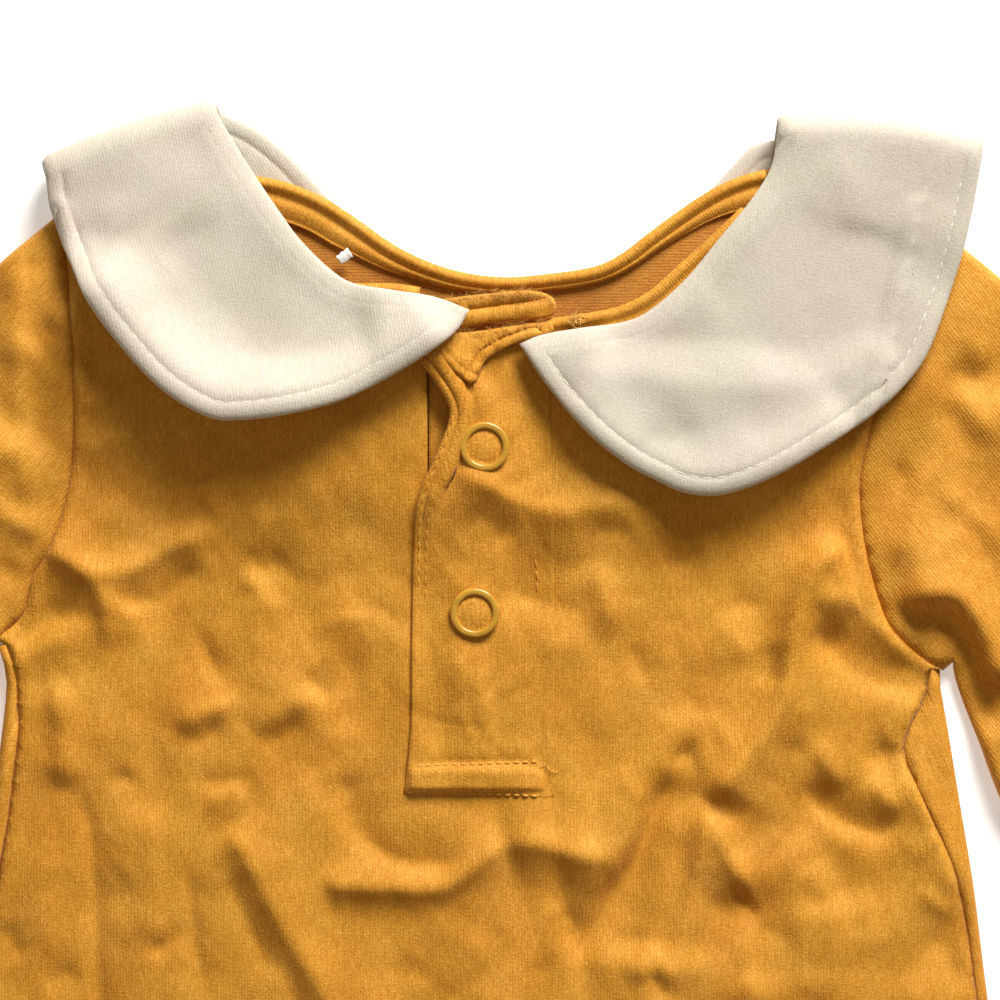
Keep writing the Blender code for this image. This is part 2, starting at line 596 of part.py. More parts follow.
def make_placket(material):
    box = [(SLIT_LEFT + SEAM_GAP, SLIT_BOTTOM + SEAM_GAP), (SLIT_RIGHT - SEAM_GAP, SLIT_BOTTOM + SEAM_GAP),
           (SLIT_RIGHT - SEAM_GAP, UNDERLAP_TOP[1]), (SLIT_LEFT + SEAM_GAP, UNDERLAP_TOP[0])]
    outline = closed_outline([[a, b] for a, b in zip(box, box[1:] + box[:1])], CELL)
    sheet("placket_underlap", outline, laid(front_height), material, CLOTH, CELL)
    outline = closed_outline([OVERLAP[:4], OVERLAP[3:10], OVERLAP[9:], [OVERLAP[-1], OVERLAP[0]]], 6.0)
    sheet("placket_overlap", outline, laid(overlap_height), material, PLACKET_CLOTH, CELL)
    outline = closed_outline([OVERLAP_TAB + OVERLAP_TAB[:1]], 4.0)
    sheet("overlap_tab", outline, laid(overlap_height), material, PLACKET_CLOTH, CELL)
    outline = closed_outline([UNDERLAP_TAB + UNDERLAP_TAB[:1]], 4.0)
    sheet("underlap_tab", outline, lambda point: (point.x, point.y, front_height(point) + 0.5),
          material, PLACKET_CLOTH, CELL)


def make_snap(name, centre, material):
    spot = Vector(centre)
    height = overlap_height(spot) + (PLACKET_CLOTH + SNAP_RING_HEIGHT) / 2 + SEAM_GAP
    bpy.ops.mesh.primitive_torus_add(
        major_segments=32, minor_segments=8, align="WORLD",
        major_radius=(SNAP_DIAMETER - SNAP_RING_WIDTH) / 2 * MM, minor_radius=SNAP_RING_WIDTH / 2 * MM)
    ring = bpy.context.object
    ring.name = name
    ring.location = Vector((spot.x, spot.y, height)) * MM
    ring.scale.z = SNAP_RING_HEIGHT / SNAP_RING_WIDTH
    ring.data.materials.append(material)
    ring.data.shade_smooth()
    move_to_shirt(ring)


def make_stub(material):
    """What is left of a cut-out label, caught in the back neck's binding."""
    spot = Vector(LABEL_STUB["centre"])
    size = LABEL_STUB["size"]
    height = back_height(spot) + CLOTH * 1.5 + 2 * SEAM_GAP + size[2] / 2
    bpy.ops.mesh.primitive_cube_add(size=1.0, location=Vector((spot.x, spot.y, height)) * MM)
    stub = bpy.context.object
    stub.name = "label_stub"
    stub.scale = Vector(size) * MM
    stub.rotation_euler.z = math.radians(LABEL_STUB["turn"])
    stub.data.materials.append(material)
    move_to_shirt(stub)


def make_knot(material):
    """The bar of thread that ends the neck binding beside the placket."""
    spot = Vector(THREAD_KNOT["centre"])
    size = THREAD_KNOT["size"]
    height = front_height(spot) + (CLOTH + size[2]) / 2 + SEAM_GAP
    bpy.ops.mesh.primitive_uv_sphere_add(segments=12, ring_count=8, radius=0.5,
                                         location=Vector((spot.x, spot.y, height)) * MM)
    knot = bpy.context.object
    knot.name = "thread_knot"
    knot.scale = Vector(size) * MM
    knot.data.materials.append(material)
    move_to_shirt(knot)


def move_to_shirt(piece):
    for holder in list(piece.users_collection):
        holder.objects.unlink(piece)
    SHIRT.objects.link(piece)


clear_scene()
SHIRT = bpy.data.collections.new("Baby collared shirt")
bpy.context.scene.collection.children.link(SHIRT)
MUSTARD = make_material("mustard_jersey")
CREAM = make_material("cream_jersey")
ENAMEL = make_material("snap_enamel")
TAPE = make_material("white_tape")

make_back(MUSTARD)
make_front(MUSTARD)
make_sleeve("sleeve_right", ARMHOLE_RIGHT, SLEEVE_RIGHT_OUTER, SLEEVE_RIGHT_INNER, 1.0, MUSTARD)
make_sleeve("sleeve_left", ARMHOLE_LEFT, SLEEVE_LEFT_OUTER, SLEEVE_LEFT_INNER, -1.0, MUSTARD)
make_collar("collar_left", COLLAR_LEFT, CREAM)
make_collar("collar_right", COLLAR_RIGHT, CREAM)
make_bindings(MUSTARD)
make_placket(MUSTARD)
for ring_name, ring_centre in SNAP_CENTRES.items():
    make_snap(ring_name, ring_centre, ENAMEL)
make_stub(TAPE)
make_knot(MUSTARD)
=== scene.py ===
# %% [markdown]
# # A baby's collared shirt, laid flat
#
# The real thing is a small jersey top. A front, a back and two sleeves are cut from mustard
# jersey, a rounded collar from cream jersey, and the front closes with a short snapped
# placket. It lies face up on a table, so it is seen as a stack of thin, creased layers.
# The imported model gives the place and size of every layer. Here each layer is cut out
# again as flat cloth, in fine facets, and laid over the layer below with all its creases.

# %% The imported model
import math

import bpy
import numpy as np
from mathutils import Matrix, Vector, geometry


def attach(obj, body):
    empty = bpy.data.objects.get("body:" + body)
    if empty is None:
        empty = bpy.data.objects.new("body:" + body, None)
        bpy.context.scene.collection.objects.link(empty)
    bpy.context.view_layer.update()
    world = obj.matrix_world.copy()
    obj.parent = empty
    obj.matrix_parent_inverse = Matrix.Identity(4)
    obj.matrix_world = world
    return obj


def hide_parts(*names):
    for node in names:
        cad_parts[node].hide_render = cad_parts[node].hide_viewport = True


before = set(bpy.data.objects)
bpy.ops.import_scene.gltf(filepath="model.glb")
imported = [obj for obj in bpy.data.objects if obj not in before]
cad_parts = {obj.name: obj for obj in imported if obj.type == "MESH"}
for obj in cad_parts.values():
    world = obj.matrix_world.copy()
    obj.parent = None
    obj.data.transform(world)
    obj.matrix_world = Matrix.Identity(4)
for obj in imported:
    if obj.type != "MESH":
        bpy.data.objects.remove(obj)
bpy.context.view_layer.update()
print("nodes", sorted(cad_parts))

# %% [markdown]
# Patterns for baby clothes are drawn in millimetres, and so are the tables below. MM turns
# them into Blender's metres. These helpers draw smooth lines through a few given points,
# and measure how far any point of the cloth is from such a line. A line is written as
# text, x,y x,y, to keep it short.

# %% Lines on the cloth
MM = 0.001


def smooth(value):
    """Ease from 0 to 1 as value goes from 0 to 1."""
    value = np.clip(value, 0.0, 1.0)
    return value * value * (3.0 - 2.0 * value)


def path(text):
    """Points from a list written as x,y x,y and so on."""
    return [tuple(float(value) for value in pair.split(",")) for pair in text.split()]


def spline(points, step):
    """Points about every step along a Catmull-Rom curve through the given points."""
    knots = [np.array(point, float) for point in points]
    knots = [2 * knots[0] - knots[1]] + knots + [2 * knots[-1] - knots[-2]]
    curve = []
    for before, start, end, after in zip(knots, knots[1:], knots[2:], knots[3:]):
        count = max(1, round(float(np.linalg.norm(end - start)) / step))
        for t in np.arange(count) / count:
            curve.append(0.5 * (2 * start + (end - before) * t
                                + (2 * before - 5 * start + 4 * end - after) * t ** 2
                                + (3 * start - before - 3 * end + after) * t ** 3))
    curve.append(knots[-2])
    return np.array(curve)


def line_lengths(curve):
    """Length from the start to each point of a curve."""
    steps = np.linalg.norm(np.diff(curve, axis=0), axis=1)
    return np.concatenate([[0.0], np.cumsum(steps)])


def along(curve, shares):
    """Points at shares of a curve's length."""
    lengths = line_lengths(curve)
    wanted = np.asarray(shares) * lengths[-1]
    return np.stack([np.interp(wanted, lengths, curve[:, axis]) for axis in range(2)], axis=-1)


def beside(curve, distance):
    """The curve moved sideways, to its left for a positive distance."""
    run = np.gradient(curve, axis=0)
    left = np.stack([-run[:, 1], run[:, 0]], axis=1)
    return curve + left / np.linalg.norm(left, axis=1, keepdims=True) * distance


def measure(points, curve):
    """Distance to a curve, share of it where it is met, and +1 or -1 for its left or right."""
    best = np.full(len(points), 1e9)
    share = np.zeros(len(points))
    side = np.ones(len(points))
    for index in range(len(curve) - 1):
        start = curve[index]
        run = curve[index + 1] - start
        away = points - start
        t = np.clip(away @ run / max(run @ run, 1e-9), 0.0, 1.0)
        gap = np.linalg.norm(away - t[:, None] * run, axis=1)
        near = gap < best
        best[near] = gap[near]
        share[near] = (index + t[near]) / (len(curve) - 1)
        turn = run[0] * away[:, 1] - run[1] * away[:, 0]
        side[near] = np.where(turn[near] >= 0, 1.0, -1.0)
    return best, share, side


def close_to(points, line, reach):
    """Which points lie in the box round a line, widened by reach."""
    low, high = line.min(axis=0) - reach, line.max(axis=0) + reach
    return np.all((points > low) & (points < high), axis=1)


def spun(flat, degrees):
    """Flat points turned about the middle of the shirt, clockwise."""
    cosine, sine = math.cos(math.radians(degrees)), math.sin(math.radians(degrees))
    return flat @ np.array([[cosine, -sine], [sine, cosine]])


def closed(outline):
    """The outline with its first point again at its end."""
    return np.vstack([outline, outline[:1]])


def is_inside(points, outline):
    """Whether each point lies inside a closed outline."""
    inside = np.zeros(len(points), bool)
    for start, end in zip(outline, np.roll(outline, -1, axis=0)):
        spans = (start[1] > points[:, 1]) != (end[1] > points[:, 1])
        rise = end[1] - start[1] if end[1] != start[1] else 1e-9
        cross = start[0] + (points[:, 1] - start[1]) * (end[0] - start[0]) / rise
        inside ^= spans & (points[:, 0] < cross)
    return inside


def distance_outside(points, outline):
    """Distance to a closed outline, zero inside it."""
    away = measure(points, closed(outline))[0]
    return np.where(is_inside(points, outline), 0.0, away)


def joined(stretches, step):
    """One closed outline from stretches that start where the last one ended."""
    return np.vstack([spline(stretch, step)[:-1] for stretch in stretches])


# %% [markdown]
# The camera hangs straight above the chest and sees a square of 210 mm, so a pixel of the
# picture is 0.21 mm of cloth. The light is a big soft window beyond the neck, low enough to
# rake over the folds, with a pale room all round.

# %% Camera, lights and floor
VIEW_WIDTH = 0.210
VIEW_CENTRE = (0.0032, 0.0681)
CAMERA_HEIGHT = 0.62
CLOTH_LEVEL = 0.005       # height at which the view is VIEW_WIDTH wide


def add(name, data):
    """A new object in the scene."""
    made = bpy.data.objects.new(name, data)
    bpy.context.scene.collection.objects.link(made)
    return made


camera_data = bpy.data.cameras.new("camera")
camera_data.sensor_width = 36.0
camera_data.lens = 36.0 * (CAMERA_HEIGHT - CLOTH_LEVEL) / VIEW_WIDTH
camera = add("camera", camera_data)
camera.location = (*VIEW_CENTRE, CAMERA_HEIGHT)
bpy.context.scene.camera = camera


def window(name, place, size, power, colour):
    """A soft rectangular light that looks at the chest."""
    data = bpy.data.lights.new(name, "AREA")
    data.shape = "RECTANGLE"
    data.size, data.size_y = size
    data.energy = power
    data.color = colour
    light = add(name, data)
    light.location = place
    aim = Vector((*VIEW_CENTRE, 0.0)) - Vector(place)
    light.rotation_euler = aim.to_track_quat("-Z", "Y").to_euler()


window("window_light", (0.38, 1.04, 0.60), (0.55, 0.45), 27.5, (1.0, 0.992, 0.985))
window("room_light", (-0.75, -0.35, 1.1), (1.2, 1.2), 1.2, (1.0, 0.86, 0.62))

room = bpy.data.worlds.new("pale_room")
room.use_nodes = True
glow = room.node_tree.nodes["Background"].inputs
glow["Color"].default_value = (1.0, 0.88, 0.68, 1.0)
glow["Strength"].default_value = 0.21
bpy.context.scene.world = room
bpy.context.scene.view_settings.view_transform = "Standard"

bpy.ops.object.select_all(action="DESELECT")
bpy.ops.mesh.primitive_plane_add(size=6.0, location=(0.0, 0.0, -0.0002))
floor = bpy.context.object
floor.name = "floor"
floor_paint = bpy.data.materials.new("pale_table")
floor_paint.use_nodes = True
floor_shader = floor_paint.node_tree.nodes["Principled BSDF"]
floor_shader.inputs["Base Color"].default_value = (0.93, 0.93, 0.93, 1.0)
floor_shader.inputs["Roughness"].default_value = 0.9
floor_shader.inputs["Specular IOR Level"].default_value = 0.1
floor_shader.inputs["Emission Color"].default_value = (1.0, 1.0, 1.0, 1.0)
floor_shader.inputs["Emission Strength"].default_value = 0.35
floor.data.materials.append(floor_paint)

# %% [markdown]
# ## Jersey
#
# Jersey is a plain knit. Its face shows fine upright ribs, the wales, about 0.64 mm apart, and
# its back shows short crosswise bars. The yarn is slightly uneven in colour, so a wale is
# lighter or darker than the next for a few millimetres. Each sheet carries a UV map with
# its flat pattern in metres, so the wales follow the cloth through every fold. One function
# builds the node graph, and its arguments are the colours and the direction of the ribs.

# %% The knit
WALE = 0.64 * MM
COURSE = 0.52 * MM


def node(tree, kind, inputs=(), **settings):
    """Add a shader node, set its options and fill its sockets."""
    made = tree.nodes.new(kind)
    for key, value in settings.items():
        setattr(made, key, value)
    for key, value in dict(inputs).items():
        if isinstance(value, bpy.types.NodeSocket):
            tree.links.new(value, made.inputs[key])
        else:
            made.inputs[key].default_value = value
    return made


def arithmetic(tree, operation, first, second=0.0):
    return node(tree, "ShaderNodeMath", {0: first, 1: second}, operation=operation).outputs[0]


def blend_colours(tree, share, first, second):
    mix = node(tree, "ShaderNodeMix", data_type="RGBA")
    for socket, value in (("Factor_Float", share), ("A_Color", first), ("B_Color", second)):
        target = next(s for s in mix.inputs if s.identifier == socket)
        if isinstance(value, bpy.types.NodeSocket):
            tree.links.new(value, target)
        else:
            target.default_value = value
    return next(s for s in mix.outputs if s.identifier == "Result_Color")


def grain_noise(tree, place, scale, detail, size):
    """Soft noise around zero, size high."""
    noise = node(tree, "ShaderNodeTexNoise", {"Vector": place, "Scale": scale, "Detail": detail})
    centred = arithmetic(tree, "SUBTRACT", noise.outputs["Fac"], 0.5)
    return arithmetic(tree, "MULTIPLY", centred, size)


def total(tree, values):
    """Sum of several sockets."""
    running = values[0]
    for value in values[1:]:
        running = arithmetic(tree, "ADD", running, value)
    return running


def knit(name, dark, middle, light, across=False, relief=0.085, mottle=1.0):
    """Jersey in three shades of one yarn. across turns the ribs, for the back of the cloth."""
    paint = bpy.data.materials.new(name)
    paint.use_nodes = True
    tree = paint.node_tree
    shader = tree.nodes["Principled BSDF"]
    shader.inputs["Roughness"].default_value = 0.72
    shader.inputs["Specular IOR Level"].default_value = 0.42
    shader.inputs["Sheen Weight"].default_value = 0.12
    shader.inputs["Sheen Roughness"].default_value = 0.5
    shader.inputs["Sheen Tint"].default_value = (1.0, 0.9, 0.7, 1.0)
    flat = node(tree, "ShaderNodeUVMap", uv_map="pattern").outputs["UV"]
    axes = node(tree, "ShaderNodeSeparateXYZ", {"Vector": flat})
    rib, run = (1, 0) if across else (0, 1)

    # Each wale is a chain of V stitches: round in the middle, with legs that lean outwards.
    sway = grain_noise(tree, flat, 320.0, 2.0, 0.5)
    wale = total(tree, [arithmetic(tree, "DIVIDE", axes.outputs[rib], WALE), sway])
    off_middle = arithmetic(tree, "SUBTRACT", arithmetic(tree, "FRACT", wale), 0.5)
    lean = arithmetic(tree, "ABSOLUTE", off_middle)
    fall = arithmetic(tree, "MULTIPLY", arithmetic(tree, "POWER", lean, 2.0), 4.0)
    ribs = arithmetic(tree, "SUBTRACT", 0.5, fall)
    chain = total(tree, [arithmetic(tree, "DIVIDE", axes.outputs[run], COURSE),
                         arithmetic(tree, "MULTIPLY", lean, 1.2)])
    rows = arithmetic(tree, "SINE", arithmetic(tree, "MULTIPLY", chain, 2 * math.pi))

    # Uneven yarn: short streaks along the ribs, specks, and soft clouds over the whole piece.
    # Painted shade too: each wale is painted lighter at its crown and darker at its edges, and the
    # courses in faint bands.
    stretch = (1300.0, 420.0, 1.0) if not across else (420.0, 1300.0, 1.0)
    drawn = node(tree, "ShaderNodeVectorMath", {0: flat, 1: stretch}, operation="MULTIPLY")
    tone = total(tree, [
        grain_noise(tree, drawn.outputs[0], 1.0, 3.0, 0.9 * mottle),
        grain_noise(tree, flat, 60.0, 4.0, 0.9 * mottle),
        grain_noise(tree, flat, 2600.0, 1.0, 1.3 * mottle),
        arithmetic(tree, "MULTIPLY", ribs, 0.12),
        arithmetic(tree, "MULTIPLY", rows, 0.05)])
    ramp = node(tree, "ShaderNodeValToRGB", {"Fac": arithmetic(tree, "ADD", tone, 0.48)})
    ramp.color_ramp.elements[0].position = 0.1
    ramp.color_ramp.elements[0].color = (*dark, 1.0)
    ramp.color_ramp.elements[1].position = 0.9
    ramp.color_ramp.elements[1].color = (*light, 1.0)
    halfway = ramp.color_ramp.elements.new(0.5)
    halfway.color = (*middle, 1.0)
    # The dye took a little redder in some places and a little greener in others.
    dye = node(tree, "ShaderNodeTexNoise", {"Vector": flat, "Scale": 26.0, "Detail": 3.0})
    redder = blend_colours(tree, dye.outputs["Fac"], (0.97, 1.08, 0.95, 1.0),
                           (1.02, 0.90, 0.95, 1.0))
    tint = node(tree, "ShaderNodeVectorMath", {0: ramp.outputs["Color"], 1: redder},
                operation="MULTIPLY")
    tree.links.new(tint.outputs[0], shader.inputs["Base Color"])

    height = total(tree, [arithmetic(tree, "MULTIPLY", ribs, 0.45),
                          arithmetic(tree, "MULTIPLY", rows, 0.08),
                          grain_noise(tree, flat, 1700.0, 3.0, 1.5)])
    bump = node(tree, "ShaderNodeBump",
                {"Height": height, "Distance": relief * MM, "Strength": 1.0})
    tree.links.new(bump.outputs["Normal"], shader.inputs["Normal"])
    return paint


MUSTARD_FACE = knit("mustard_jersey_face", (0.46, 0.17, 0.003), (0.60, 0.252, 0.010),
                    (0.74, 0.36, 0.050))
# The wrong side is painted darker than the face: painted shade for the inside of the back neck,
# which lies low and in shadow.
MUSTARD_BACK_PAINTED_SHADE = knit("mustard_jersey_back_painted_shade", (0.34, 0.115, 0.006), (0.46, 0.17, 0.011),
                    (0.58, 0.235, 0.020), across=True)
CREAM_FACE = knit("cream_jersey_face", (0.445, 0.385, 0.305), (0.545, 0.488, 0.41),
                  (0.635, 0.592, 0.525), relief=0.06, mottle=0.55)


def plain(name, colour, roughness, grain=900.0, relief=0.06, **sockets):
    """A finish of one colour with a fine uneven grain, for thread, enamel and tape."""
    paint = bpy.data.materials.new(name)
    paint.use_nodes = True
    tree = paint.node_tree
    shader = tree.nodes["Principled BSDF"]
    shader.inputs["Roughness"].default_value = roughness
    for key, value in sockets.items():
        shader.inputs[key.replace("_", " ")].default_value = value
    spots = node(tree, "ShaderNodeTexCoord").outputs["Object"]
    noise = node(tree, "ShaderNodeTexNoise", {"Vector": spots, "Scale": grain, "Detail": 3.0})
    darker = tuple(0.72 * channel for channel in colour)
    shade = blend_colours(tree, noise.outputs["Fac"], (*darker, 1.0),
                          (*(min(1.0, 1.2 * channel) for channel in colour), 1.0))
    tree.links.new(shade, shader.inputs["Base Color"])
    bump = node(tree, "ShaderNodeBump",
                {"Height": noise.outputs["Fac"], "Distance": relief * MM, "Strength": 1.0})
    tree.links.new(bump.outputs["Normal"], shader.inputs["Normal"])
    return paint


MUSTARD_THREAD = plain("mustard_thread", (0.70, 0.33, 0.035), 0.6, 2600.0)
CREAM_THREAD = plain("cream_thread", (0.78, 0.73, 0.64), 0.6, 2600.0)
# Loose fibres are painted lighter than the yarn they come from: a painted highlight for the light
# the fuzz catches. The knot's threads share it.
MUSTARD_FUZZ_PAINTED_HIGHLIGHT = plain("mustard_fuzz_painted_highlight", (0.88, 0.50, 0.12), 0.9, 1800.0)
ENAMEL = plain("mustard_enamel", (0.55, 0.285, 0.026), 0.3, 500.0, 0.012, Coat_Weight=0.35,
               Coat_Roughness=0.2)
TAPE = plain("white_tape", (0.86, 0.84, 0.80), 0.8, 2000.0, 0.1)

# %% [markdown]
# ## The outlines
#
# These are the edges of the pieces as they lie, in millimetres from the middle of the
# shirt. They are the same outlines that the solid model is cut from.

# %% Outlines
CLOTH = 1.0               # room that a layer of jersey takes up
JERSEY_WALL = 0.95        # its thickness as it is drawn
PANEL_EDGE = (0.5, 0.4)   # width of a panel's rounded edge, thickness at its rim
COLLAR_CLOTH = 2.0
SEAM_GAP = 0.04
HEM_Y, HEM_DEPTH = -148.0, 12.0
BACK_MIDDLE, FRONT_MIDDLE = 0.5, 3.7      # heights of the middles of the two layers
BACK_LIFT = 2.3           # the collar's back half lies under the shirt's back
LIFT_SHELF, LIFT_RAMP = 6.0, 18.0

SIDE_RIGHT = path("96.4,32.4 95.9,30.6 97.4,22 100,6 103.5,-16 106.5,-40 113,-148")
SIDE_LEFT = path("-103,37.6 -100.8,32 -101.2,24 -103.5,6 -106,-16 -108.5,-40 -115,-148")
ARMHOLE_RIGHT = path("91,128 88,114 84.5,98 80,79 78.8,70 80.5,56 84.2,43.6 87.6,38.8 "
                     "91.8,35.2 96.4,32.4")
ARMHOLE_LEFT = path("-89,128 -87,112 -86,92 -87.4,72 -91,59 -95.4,51.5 -97.4,44 -103.2,38.6")
BACK_NECK = path("-50,136.4 -43,135.2 -35,132.2 -28.4,128.2 -17.9,121 -7.4,116.6 3.2,114.9 "
                 "13.7,115.6 23.3,117.2 29,120 34.2,124 41,129 47.8,133.4 54,136.2 60,137.8")
FRONT_NECK_LEFT = path("-55,140.6 -51.5,130.5 -45,120 -38,112.6 -30,109.2 -20,108.9 -12,107.8")
FRONT_NECK_RIGHT = path("13.3,101.6 22,102.8 30,104.6 37,108.2 43.5,114 51.5,121.2 59,128.6 "
                        "62,134 62,138.8")
SLEEVE_RIGHT_OUTER = path("108,114.5 129,97 150,76.5 169,53 184,27 196.5,1 206,-26.5")
SLEEVE_RIGHT_INNER = path("98.8,34.4 99.8,30.5 101.3,26 104.8,16.8 109.4,4.6 117.5,-10 "
                          "127,-27.5 139,-44 151,-58")
SLEEVE_LEFT_OUTER = path("-102.4,117 -122,100 -144,79 -165,53.5 -181,27 -195,1 -206,-26.5")
SLEEVE_LEFT_INNER = path("-104.8,28 -107,18 -111,5 -118,-9.5 -127.5,-27.5 -139,-44 -151,-58")
COLLAR_LEFT = {
    "fold": path("-91.4,135.1 -55.2,147.7"),
    "front_neck": path("-3.2,107.6 -9.5,110.1 -17.9,111.6 -27.3,113.3 -32.6,116.6 -38.9,122.9 "
                       "-42.4,127.7 -46.2,133.2 -51.5,141.4 -55.2,147.7"),
    "front_edge": path("-91.4,135.1 -90.6,129 -87.5,120.6 -82,109.5 -75,99.9 -66.5,90.9 "
                       "-57,85.2 -49.5,84.6 -39,86 -28,89.2 -15,96.2 -6.5,102.4 -3.2,107.6"),
    "back_neck": path("-57.6,150.2 -54.4,149.4 -47.8,146.2 -41.2,140.8 -34.6,133.8 -27,126 "
                      "-16,118.6 -6,114.6 2.6,112.6"),
    "back_edge": path("2.6,74.6 -24,75.6 -50,80.4 -68,89.5 -80,101.5 -87.5,118 -91.4,135.1"),
}
COLLAR_RIGHT = {
    "fold": path("103.7,139.9 61.2,144.1"),
    "front_neck": path("7.2,100.6 12,102.6 20,104 29.6,105.5 35.1,108.2 42.2,114.5 49.1,122.9 "
                       "55.4,130.5 59.8,137.4 61.2,144.1"),
    "front_edge": path("103.7,139.9 101.6,128 98.2,114.5 92.4,98.8 87,91.4 81,86 73.9,81.1 "
                       "61,73.4 50,69.3 42,69.5 35.6,72.2 29,75.8 21,82.4 13,91.8 7.2,100.6"),
    "back_neck": path("61.2,144.1 56.7,143 51.9,138.2 46.4,132.6 35,123.6 24,117.2 13,113.8 "
                      "3.8,112.6"),
    "back_edge": path("3.8,74.6 30,75.6 58,81.6 77,91.6 89.5,104.4 98.5,121 103.7,139.9"),
}
# armhole, side and the way out from the body, for both sides
SIDES = ((ARMHOLE_RIGHT, SIDE_RIGHT, 1.0), (ARMHOLE_LEFT, SIDE_LEFT, -1.0))
SLIT_LEFT, SLIT_RIGHT, SLIT_BOTTOM = -12.0, 13.3, 10.8
FRONT_COLLARS = [joined([half["front_neck"], half["fold"][::-1], half["front_edge"]], 3.0)
                 for half in (COLLAR_LEFT, COLLAR_RIGHT)]
BACK_COLLARS = [joined([half["back_neck"], [half["back_neck"][-1], half["back_edge"][0]],
                        half["back_edge"]], 3.0)
                for half in (COLLAR_LEFT, COLLAR_RIGHT)]

# %% [markdown]
# ## Creases
#
# Jersey that has been worn and laid down keeps soft ridges, with sharper troughs between
# them. Each crease is a line through a few points, a height, and a half width on each side
# of the line, because a ridge is often steep on one side. The large ones are in the solid
# model too. The lower part of the shirt and of the sleeves, past the picture's edge, has
# creases of the same kind.

